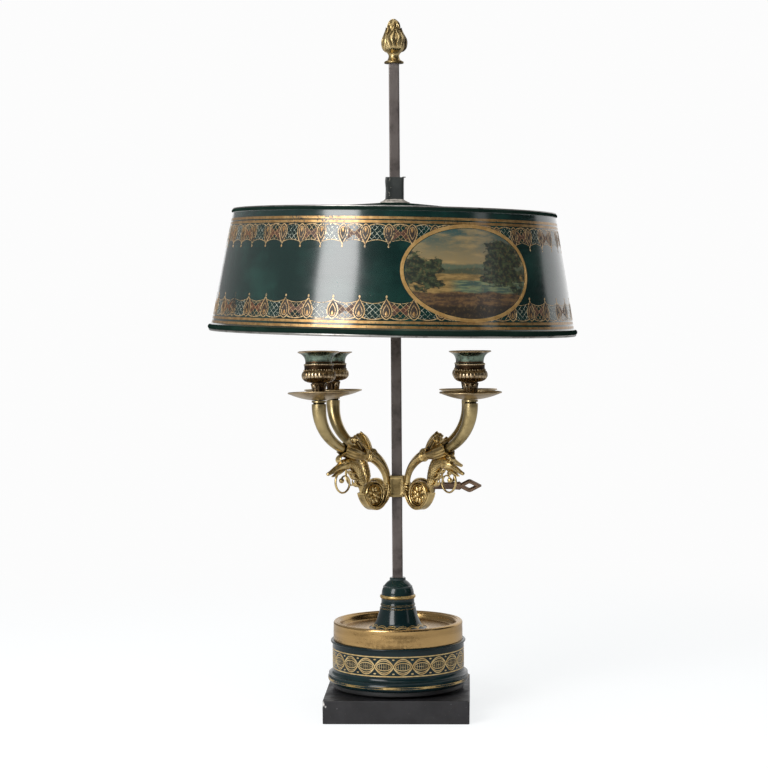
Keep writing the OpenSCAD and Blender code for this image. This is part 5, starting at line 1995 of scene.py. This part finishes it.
        solid = Solid("drip_pan_" + self.name)
        solid.grid(revolve(profile, 96, uneven) + (self.layout.reach, 0, 0), closed=True)
        solid.placed(self.sagged)
        self.done(solid, [Finish.PAN], "pan_brass", "drip_pan")

    def socket(self) -> None:
        """Candle socket: leafed stem, ribbed bulb under a grained band, heat-blued neck, wide lip."""
        base, h = self.cup_w, self.cup_h
        low = chain(
            [(2.1, 0.0), (6.2, 0.0), (6.4, 0.7), (5.7, 1.4)],
            bezier([(5.4, 1.6), (4.5, 2.4), (4.4, 4.0), (4.6, 6.0)], 8),
            bezier([(4.6, 6.0), (4.9, 9.0), (5.6, 11.6), (6.5, 14.4)], 8),
        )
        bulb = bezier([(6.6, 15.2), (12.4, 15.6), (15.5, 18.4), (15.5, 21.8)], 14)
        crown = bezier([(15.5, 21.8), (15.4, 24.0), (14.6, 25.2), (13.6, 26.0)], 6)
        band = [(13.3, 26.4), (12.9, 27.0), (12.9, 30.6), (13.5, 31.2), (13.5, 31.9), (12.4, 32.6)]
        flare = bezier([(12.0, 33.0), (12.0, 37.6), (13.6, 40.6), (self.rim - 1.2, h - 1.4)], 14)
        lip = [
            (self.rim - 0.3, h - 1.0), (self.rim, h - 0.4), (self.rim - 0.4, h), (self.rim - 1.0, h - 0.1)
        ]
        inner = bezier([(self.rim - 1.2, h - 0.4), (14.4, h - 2.4), (11.4, h - 5.0), (11.0, h - 9.6)], 10)
        well = [(11.0, h - 10.5), (11.0, h - 25.4), (0.05, h - 25.5)]
        outline = chain(low, bulb, crown, band, flare, lip, inner, well)
        body = len(low) + len(bulb) + len(crown)
        slots = np.zeros(len(outline), int)
        slots[body + len(band) - 2 : body + len(band) + len(flare) - 2] = 1
        carved = (np.arange(len(outline)) < body + 4)[:, None]

        def ribs(angle: Points, z: Points) -> Points:
            """Ribs on the bulb, bright at their feet, and grains on the band."""
            lobes = 0.6 * (np.abs(np.sin(12 * angle)) ** 0.6 - 0.7) * ease(z, 15.3, 17.0)
            grains = 0.22 * np.sin(42 * angle) * np.cos(3.0 * z) * ease(z, 26.6, 27.2)
            return (lobes * ease(26.0 - z, 0, 2.0) + grains * ease(31.0 - z, 0, 0.5)) * carved

        solid = Solid("socket_" + self.name)
        grid = revolve(outline, 168, ribs)
        solid.grid(np.concatenate([grid[:1] * (0.02, 0.02, 1), grid]), slot=slots)
        bead = ball(0.8, 0.8, 6, 8)
        beads = np.stack([turned(bead + (13.1, 0, 26.5), a, "Z") for a in np.arange(32) * 11.25])
        solid.grid(beads)
        for k in range(8):
            t = np.linspace(0, 1, 9)[:, None]
            s = np.linspace(-1, 1, 7)[None, :]
            radius = 4.7 + 1.9 * t + 0.7 * (1 - s**2)
            swing = 0.42 * s * np.sin(np.pi * np.clip(0.2 + 0.8 * t, 0, 1)) ** 0.7
            leaf = np.stack([radius * np.cos(swing), radius * np.sin(swing), 3.6 + 10.8 * t + 0 * s], -1)
            back = leaf * (0.82, 0.82, 1)
            solid.tube(turned(np.concatenate([leaf, back[:, ::-1]], 1), 45.0 * k, "Z"))
        solid.placed(lambda p: self.sagged(p + (self.layout.reach, 0, base)))
        self.done(solid, [Finish.SOCKET, Finish.CUP_NECK], "socket_brass", "socket", sharp=45)


@dataclass
class Key(Part):
    """Clamping key: threaded shaft, flat shank and a diamond bow, turned a little."""

    shaft: float = 2.5
    start: float = 5.6
    shoulder: float = 15.5
    shank: tuple[float, float] = (6.4, 4.0)
    bow: tuple[float, float] = (57.0, 79.5)
    bow_h: float = 13.4
    bar: float = 3.3
    thick: float = 4.5
    turn: float = 25.0

    def build(self) -> None:
        """Makes the shaft with its thread, the shank and the diamond frame of the bow."""
        solid = Solid("clamp_key")
        x = np.arange(self.start + 0.6, self.shoulder + 1, 0.18)
        a = np.linspace(0, 2 * np.pi, 24, endpoint=False)[None, :]
        phase = 2 * np.pi * x[:, None] / 1.0 - a
        radius = self.shaft - 0.28 + 0.22 * np.cos(phase)
        thread = np.stack([x[:, None] + 0 * a, radius * np.cos(a), radius * np.sin(a)], -1)
        solid.tube(thread)
        self.shank_piece(solid)
        middle = (self.bow[0] + self.bow[1]) / 2
        reach = (self.bow[1] - self.bow[0]) / 2
        outer = self.diamond(middle, reach, self.bow_h / 2, 2.6)
        inner = self.diamond(middle, reach - self.bar * 1.6, self.bow_h / 2 - self.bar, 1.0)
        t, e = self.thick / 2, 0.7
        rows = [(inner, -t + e), (inner * 0.94 + outer * 0.06, -t + 0.2), (inner * 0.8 + outer * 0.2, -t)]
        rows += [(inner * 0.2 + outer * 0.8, -t), (inner * 0.06 + outer * 0.94, -t + 0.2), (outer, -t + e)]
        rows += [(shape, -y) for shape, y in rows[::-1]]
        grid = np.stack([np.insert(shape, 1, y, axis=1) for shape, y in rows])
        solid.grid(grid, closed=True)
        mid = (0, 0, self.layout.collar_mid)
        solid.placed(lambda p: turned(turned(p, self.turn, "X") + mid, self.layout.tilt, "X", mid))
        solid.finish(self.palette(Finish.KEY), "rusty_iron", "key", ["key"])

    def shank_piece(self, solid: Solid) -> None:
        """Forged shank that swells where it meets the bow and tapers round at the shaft.

        Args:
            solid: Collects the points.
        """
        high, thick = self.shank
        x = np.array(
            [self.shoulder - 0.2, self.shoulder + 0.3, 17.0, 20.0, 30.0, 42.0, 52.0, 56.0, 59.0, 60.5]
        )
        tall = np.array([0.72, 0.8, 0.92, 1.0, 0.98, 0.96, 0.98, 1.1, 1.2, 0.9]) * high / 2
        wide = np.array([0.9, 1.0, 1.0, 1.0, 0.97, 0.97, 1.0, 1.08, 1.08, 0.9]) * thick / 2
        section = rounded_square(5, 32)
        y, z = (size[:, None] * section[None, :, k] for k, size in enumerate((wide, tall)))
        solid.tube(np.stack([x[:, None] + 0 * y, y, z], -1))

    def diamond(self, middle: float, reach: float, half: float, corner: float) -> Curve:
        """Outline of a diamond with rounded corners, evenly spaced.

        Args:
            middle: Place of its centre along the key.
            reach: Half its length.
            half: Half its height.
            corner: How far its corners are rounded off.
        Returns:
            Points round it, always as many.
        """
        corners = [(middle + reach, 0.0), (middle, half), (middle - reach, 0.0), (middle, -half)]
        shape = softened(corners + corners[:1], corner, 6)
        return even(np.concatenate([shape, shape[:1]]), 65)[:-1]


# ---- The shade ----


@dataclass(frozen=True)
class LaceBorder:
    """One painted border of the shade: how often it repeats and where its parts lie."""

    name: str
    repeats: int
    start: float
    stripes: tuple[float, float]
    foot: float
    across: float
    high: float
    from_top: bool = False


@dataclass
class Shade(Part):
    """Painted tin shade on a square sleeve: wall, roof, gilding, painted scenes and solder."""

    top_r: float = 150.3
    foot_r: float = 170.5
    below_pivot: float = 132.75
    height: float = 111.5
    top_bead: float = 1.8
    foot_bead: float = 2.4
    top_wire: float = 0.95
    foot_wire: float = 1.55
    tin: float = 0.8
    roof_rise: float = 10.0
    sleeve_half: float = 8.3
    sleeve_h: float = 22.5
    reference: float = 166.0
    scene_bearing: float = -63.0
    scene: tuple[float, float] = (58.8, 40.0)
    scene_drop: float = 1.0
    scene_flare: float = 0.117
    frame: float = 3.3
    stripe_w: float = 2.4
    borders: tuple[LaceBorder, ...] = (
        LaceBorder("lower", 44, -81.45, (7.4, 11.5), 13.3, 1.0, 1.0),
        LaceBorder("upper", 48, -81.9, (10.1, 13.6), 15.2, 0.94, 1.0, from_top=True),
    )

    def __post_init__(self) -> None:
        """Works out the shade's heights from the pivot that the frame gives."""
        self.foot_z = self.layout.lean_z - self.below_pivot
        self.roof_z = self.foot_z + self.height + self.roof_rise

    def build(self) -> None:
        """Makes the wall, the roof, the sleeve and everything painted on the wall."""
        self.sheet()
        self.roof()
        self.sleeve()
        self.solder()
        for border in self.borders:
            self.lace(border)
        self.scenes()

    def done(
        self, solid: Solid, finishes: list[Finish], slot: str, nodes: Sequence[str] = (), sharp: float = 38
    ) -> None:
        """Leans a finished piece with the shade and hands it to its body and nodes."""
        solid.placed(lambda p: turned(p, self.layout.shade_lean, "Y", (0, 0, self.layout.lean_z)))
        solid.finish(self.palette(*finishes), slot, "shade", nodes, sharp=sharp)

    def outside(self) -> Curve:
        """The wall's outer face from just over the foot bead to just under the top bead."""
        z = np.linspace(self.foot_bead, self.height - self.top_bead, 60)
        return np.stack([self.foot_r + (self.top_r - self.foot_r) * z / self.height, self.foot_z + z], 1)

    def waves(self, angle: Points, z: Points) -> Points:
        """Slow waves of hand-rolled sheet, strongest between the beads."""
        rise = np.clip((z - self.foot_z) / self.height, 0, 1)
        swell = 0.3 * np.sin(5 * angle + 2.0 + 1.5 * rise) + 0.18 * np.sin(9 * angle + 5 * rise)
        return swell * np.sin(np.pi * rise)

    def sheet(self) -> None:
        """Rolls the sheet round the two wires: one closed section with an outer and inner face."""
        slope = math.atan2(self.foot_r - self.top_r, self.height)
        outer = self.outside()
        nrm = np.array([math.cos(slope), math.sin(slope)])
        foot = (self.foot_r, self.foot_z + self.foot_bead)
        top = (self.top_r, self.foot_z + self.height - self.top_bead)
        outer = outer[(outer[:, 1] > foot[1] + self.foot_bead) & (outer[:, 1] < top[1] - self.top_bead)]
        tilt = math.degrees(slope)
        foot_curl = arc(foot, (self.foot_bead, self.foot_bead), tilt - 235, tilt + 68, 28)
        top_curl = arc(top, (self.top_bead, self.top_bead), tilt - 68, tilt + 235, 24)
        inner = outer[::-1] - nrm * self.tin
        inner = inner[(inner[:, 1] < top[1] - self.top_bead) & (inner[:, 1] > foot[1] + self.foot_bead)]
        profile = chain(foot_curl, outer, top_curl)
        top_back = arc(top, (self.top_wire, self.top_wire), tilt + 235, tilt - 75, 12)
        foot_back = arc(foot, (self.foot_wire, self.foot_wire), tilt + 75, tilt - 235, 14)
        back = chain(top_back, inner, foot_back)
        closed = chain(profile, back)
        place = np.arange(len(closed))
        slots = np.where(place < len(profile) - 1, 0, 1)
        slots[(place < len(foot_curl) - 1) | ((place > len(profile) - len(top_curl)) & (slots == 0))] = 2
        solid = Solid("shade_wall_rolled")
        grid = revolve(closed, 384, self.waves)
        rise = (grid[..., 2] - self.foot_z) / self.height
        wear = np.exp(-((rise / 0.03) ** 2)) * 0.12 + np.exp(-(((rise - 1.0) / 0.02) ** 2)) * 0.15
        solid.grid(grid, closed=True, slot=slots, wear=wear)
        self.done(solid, [Finish.TOLE, Finish.LINING, Finish.ROOF_TOLE], "painted_tin", ["shade_wall"])

    def roof(self) -> None:
        """Shallow cone soldered inside the top bead, cut square for the sleeve."""
        edge = self.top_r - self.top_bead
        low = self.foot_z + self.height - 2.6
        high = low + self.roof_rise + 1.6
        hole_half = self.sleeve_half
        radii = np.array([edge, edge * 0.985, 135.0, 110.0, 85.0, 60.0, 40.0, 24.0, 15.0])
        z = low + (high - low) * (1 - radii / edge) / (1 - hole_half / edge)
        count = 192
        cone = revolve(np.stack([radii, z], 1), count)
        hole = np.roll(square_ring(np.array([hole_half]), np.array([0.8]), count // 4)[0], -(count // 8), 0)
        neck = np.concatenate([hole, np.full((count, 1), high)], 1)[None]
        top = np.concatenate([cone, neck])
        top[..., 2] += 0.35 * ripple(top, 60, 9) * (np.hypot(top[..., 0], top[..., 1]) < edge - 2)
        slots = np.r_[np.zeros(len(top) - 1, int), np.ones(len(top) + 1, int)]
        solid = Solid("shade_roof_cone")
        solid.grid(np.concatenate([top, (top - (0, 0, 0.7))[::-1]]), closed=True, slot=slots)
        self.done(solid, [Finish.ROOF_TOLE, Finish.LINING], "painted_tin", ["shade_roof"])

    def sleeve(self) -> None:
        """Square sleeve of bent sheet with a lapped seam, one bulged corner and a flared foot."""
        half, low, high = self.sleeve_half, self.roof_z - 2, self.roof_z + self.sleeve_h
        z = np.concatenate([[low], np.linspace(low + 0.5, high - 0.3, 22), [high]])
        points = square_stack(np.full(len(z), half), z, np.full(len(z), 1.4), 16)
        inside = points * ((half - 0.9) / half, (half - 0.9) / half, 1)
        t = (z - low) / (high - low)
        flare = 1 + 0.05 * np.exp(-t * 9) + 0.012 * np.sin(6 * t)
        points[..., :2] *= flare[:, None, None]
        x, y, h = points[..., 0], points[..., 1], points[..., 2]
        bulge = np.exp(-(((x + half) / 4) ** 2) - (((h - high + 4) / 5) ** 2)) * (y < 0)
        x -= 0.7 * bulge
        y -= 0.5 * bulge
        seam = -half * 0.5 + 0.5 * np.sin(h * 0.5)
        y -= 0.42 * ease(seam - x, -0.2, 0.2) * (y < -half + 1.2)
        bare = np.exp(-(((x - seam) / 0.55) ** 2)) * (y < -half + 1.2) * ease(h, low + 2, low + 4)
        solid = Solid("shade_sleeve_folded")
        wear = np.concatenate([bare, 0 * bare])
        solid.grid(np.concatenate([points, inside[::-1]]), closed=True, wear=wear)
        self.done(solid, [Finish.SLEEVE_TOLE], "painted_tin", ["shade_sleeve"])

    def solder(self) -> None:
        """Lumpy bead of solder in the corner of roof and sleeve."""
        t = np.linspace(0, 1, 12)
        half = 8.2 + 5.6 * t
        z = self.roof_z - 0.4 + 2.7 * (1 - t) ** 1.6
        points = square_stack(half, z, np.minimum(half, 1.4 + 13 * t), 24)
        points[..., 2] += 0.55 * ripple(points, 5, 3) * np.sin(np.pi * t)[:, None]
        points[..., :2] *= 1 + 0.05 * ripple(points, 8, 4)[..., None] * t[:, None, None]
        under = points[::-1] * (1, 1, 0) + (0, 0, self.roof_z - 1.6)
        solid = Solid("sleeve_solder_bead")
        solid.grid(np.concatenate([points, under]), closed=True)
        self.done(solid, [Finish.SOLDER], "solder", ["sleeve_solder"])

    def wall(self, start: float = 0.0) -> Wall:
        """The wall as a surface to paint on, with b counted from the shade's bottom edge.

        Args:
            start: Bearing in degrees at which a is 0.
        Returns:
            The wall with its waves.
        """
        outline = self.outside()
        first = outline[0] - (outline[1] - outline[0]) / (outline[1, 1] - outline[0, 1]) * self.foot_bead
        return Wall(np.concatenate([first[None], outline]), self.reference, start, self.waves)

    def scene_middle(self, wall: Wall) -> float:
        """Height on the wall of the middle of the painted scenes."""
        return (wall.length + self.top_bead) / 2 - self.scene_drop

    def lace(self, border: LaceBorder) -> None:
        """Paints one border: two stripes, linked pointed ovals and the lattice between them.

        Args:
            border: Where it lies and how often it repeats.
        """
        wall = self.wall(border.start)
        solid = Solid("shade_lace_" + border.name)
        pitch = wall.girth / border.repeats
        every = np.arange(border.repeats) * pitch
        upside = wall.length + self.top_bead if border.from_top else None
        stripes = Motif()
        for b in border.stripes:
            stripes.level(pitch, 9, b, self.stripe_w, slot=1)
        plain, silver, gold = self.lace_motifs(pitch, border)

        def away(places: Points) -> np.ndarray:
            """Which places one of the two oval scenes covers."""
            inside = np.zeros(places.shape[:-1], bool)
            for turn in (0.0, 180.0):
                centre = math.radians(self.scene_bearing + turn - border.start) * wall.reference
                a = (places[..., 0] - centre + wall.girth / 2) % wall.girth - wall.girth / 2
                a = a * (1 - self.scene_flare * places[..., 1] / wall.length)
                b = places[..., 1] - self.scene_middle(wall)
                inside |= (a / (self.scene[0] + 1.2)) ** 2 + (b / (self.scene[1] + 1.2)) ** 2 < 1
            return inside

        for motif, offsets in ((stripes, every), (silver, every[::2]), (gold, every[1::2]), (plain, every)):
            motif.paint(solid, wall, offsets, upside, away, self.rubbed)
        finishes = [
            Finish.LACE_GOLD, Finish.STRIPE_GOLD, Finish.LATTICE_SILVER, Finish.LACE_RED, Finish.LACE_UMBER
        ]
        self.done(solid, finishes, "gilt_bronze")

    def lace_motifs(self, pitch: float, border: LaceBorder) -> tuple[Motif, Motif, Motif]:
        """The linked ovals, and the fields between them with silver and with gold lattice.

        Args:
            pitch: Distance from oval to oval.
            border: Gives the scale and the height of the ovals' lower tips.
        Returns:
            Three motifs.
        """
        fit = lambda path: np.asarray(path, float) * (border.across, border.high) + (0, border.foot)
        both = lambda half: np.concatenate([half, half[-2:0:-1] * (-1, 1)])
        side = chain(
            bezier([(0.0, 0.6), (2.9, 1.6), (5.0, 4.2), (4.9, 7.6)], 10),
            bezier([(4.9, 7.6), (4.8, 11.6), (2.2, 14.8), (0.0, 18.6)], 10),
        )
        small = chain(
            bezier([(0.0, 3.0), (1.9, 3.0), (2.9, 5.2), (2.8, 7.4)], 7),
            bezier([(2.8, 7.4), (2.7, 10.0), (1.1, 11.8), (0.0, 13.8)], 7),
        )
        bud = chain(bezier([(0.0, 3.6), (1.1, 3.8), (1.6, 5.2), (1.1, 6.4)], 5), [(0.6, 7.4), (0.0, 8.4)])
        plain = Motif()
        plain.touch(fit(both(side * 0.93 + (0, 0.7))), slot=4, height=0.03)
        plain.line(fit(both(side)), 0.95, closed=True)
        plain.line(fit(both(small)), 0.7, closed=True)
        plain.touch(fit(both(bud)), slot=1)
        plain.touch(fit(arc((0, 20.4), (0.9, 1.3), 0, 360, 12)[:-1]), height=0.14)
        plain.line(fit([(0.0, 18.3), (0.0, 19.0), (0.0, 19.6)]), 0.5)
        width = pitch / border.across
        for start, level, dip, thick in ((2.2, 2.5, 1.9, 0.85), (1.6, 16.4, 1.9, 0.6)):
            run = np.linspace(start, width - start, 17)
            sag = level - dip * np.sin(np.pi * (run - start) / (width - 2 * start))
            plain.line(fit(np.stack([run, sag], 1)), thick)
        fields = []
        for slot in (2, 0):
            motif = Motif()
            if slot == 0:
                inner = side[(side[:, 1] > 2.2) & (side[:, 1] < 16.4)]
                ground = np.concatenate([inner + (0.2, 0), inner[::-1] * (-1, 1) + (width - 0.2, 0)])
                motif.touch(fit(ground), slot=3, height=0.02)
            for line in self.lattice(side, width):
                motif.line(fit(line), 0.42, slot=slot)
            fields.append(motif)
        return plain, fields[0], fields[1]

    @staticmethod
    def lattice(side: Curve, width: float) -> list[Curve]:
        """Slanting lines that fill the field between two ovals.

        Args:
            side: Right half of an oval's outline, from its lower tip up.
            width: Distance from oval to oval.
        Returns:
            One short path for each line.
        """
        t = np.linspace(0, 18, 73)
        out = []
        for lean in (-1, 1):
            for shift in np.arange(-5, 6) * 5.2:
                a = width / 2 + shift + lean * (t - 9)
                clear = np.interp(t, side[:, 1], side[:, 0]) + 0.5
                low = 2.9 - 1.9 * np.sin(np.pi * np.clip(a / width, 0, 1))
                high = 16.2 - 1.9 * np.sin(np.pi * np.clip(a / width, 0, 1))
                inside = (a > clear) & (a < width - clear) & (t > low) & (t < high)
                if inside.sum() > 4:
                    ends = np.flatnonzero(inside)[[0, -1]]
                    mid = int(ends.mean())
                    out.append(np.stack([a[[ends[0], mid, ends[1]]], t[[ends[0], mid, ends[1]]]], 1))
        return out

    def rubbed(self, points: Points) -> np.ndarray:
        """Wear of the gilding: a base amount, raised in broad patches."""
        return 0.35 + 0.5 * ease(ripple(points, 45, 6), 0.2, 1.4)

    def scenes(self) -> None:
        """Adds the two oval scenes: a thin painted patch and its gilt frame."""
        wall = self.wall()
        a0, b0 = self.scene
        for turn, name in ((0.0, "front"), (180.0, "back")):
            centre = math.radians(self.scene_bearing + turn) * wall.reference
            t = np.radians(np.linspace(0, 360, 181))[:-1]
            patch = Solid("oval_scene_" + name)
            rings = np.concatenate([np.linspace(0, 0.96, 17), [0.985, 1.0]])
            place = self.oval(wall, centre, rings[:, None] * a0, rings[:, None] * b0, t[None, :])
            height = np.where(rings < 1, 0.05, -0.08)[:, None] + 0 * place[..., 0]
            uv = np.stack([rings[:, None] * np.cos(t), rings[:, None] * np.sin(t)], -1) * 0.5 + 0.5
            patch.grid(wall.at(np.concatenate([place, height[..., None]], -1)), uv=uv)
            self.done(patch, [Finish.SCENE_A if turn == 0 else Finish.SCENE_B], "painted_tin")
            frame = Solid("oval_frame_" + name)
            for grow, width, rise in (
                (self.frame / 2, self.frame, 0.16), (self.frame / 2 + 0.2, 0.7, 0.34)
            ):
                path = self.oval(wall, centre, a0 + grow, b0 + grow, t)
                frame.grid(wall.at(stroke(path, width, rise, closed=True)), closed=True)
            self.done(frame, [Finish.FRAME_GOLD], "gilt_bronze")

    def oval(self, wall: Wall, centre: float, half_a: Any, half_b: Any, t: Points) -> Points:
        """Points of an oval on the wall, drawn so that it is symmetric about the upright.

        Args:
            wall: The wall that carries it.
            centre: Its place round the wall.
            half_a: Half its width.
            half_b: Half its height.
            t: Angles round it.
        Returns:
            Array (..., 2) of a and b.
        """
        b = self.scene_middle(wall) + half_b * np.sin(t)
        a = half_a * np.cos(t) / (1 - self.scene_flare * b / wall.length)
        return np.stack([centre + a, b], -1)


# ---- Plain pieces ----


PLAIN = {
    "ballast": Finish.CAST_IRON,
    "bar_washer": Finish.RUST,
    "bar_nut": Finish.RUST,
    "socket_studs": Finish.SOCKET,
    "pressure_pad": Finish.SOCKET,
    "shade_top_wire": Finish.STEEL,
    "shade_bottom_wire": Finish.STEEL,
    "sleeve_springs": Finish.STEEL,
}


def dress_plain(palette: Palette) -> None:
    """Gives the pieces that stay as imported their finish.

    Args:
        palette: Makes the materials.
    """
    for node, finish in PLAIN.items():
        piece = bpy.data.objects.get(node)
        if piece is None:
            LOG.warning("no piece named %s", node)
            continue
        piece.data.materials.clear()
        for material in palette(finish):
            piece.data.materials.append(material)


def main() -> None:
    """Builds the lamp in its studio and finishes the scene."""
    logging.basicConfig(level=logging.INFO, format="%(name)s: %(message)s")
    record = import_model()["record"]
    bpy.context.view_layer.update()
    layout = Layout.read(record)
    palette = Palette()
    Studio().build()
    dress_plain(palette)
    for part in (Plinth, Drum, Dish, BellFoot, Bar, Finial, Collar, Key, Shade):
        part(layout, palette).build()
    for name in layout.bearings:
        Arm(layout, palette, name).build()


if __name__ == "__main__":
    main()
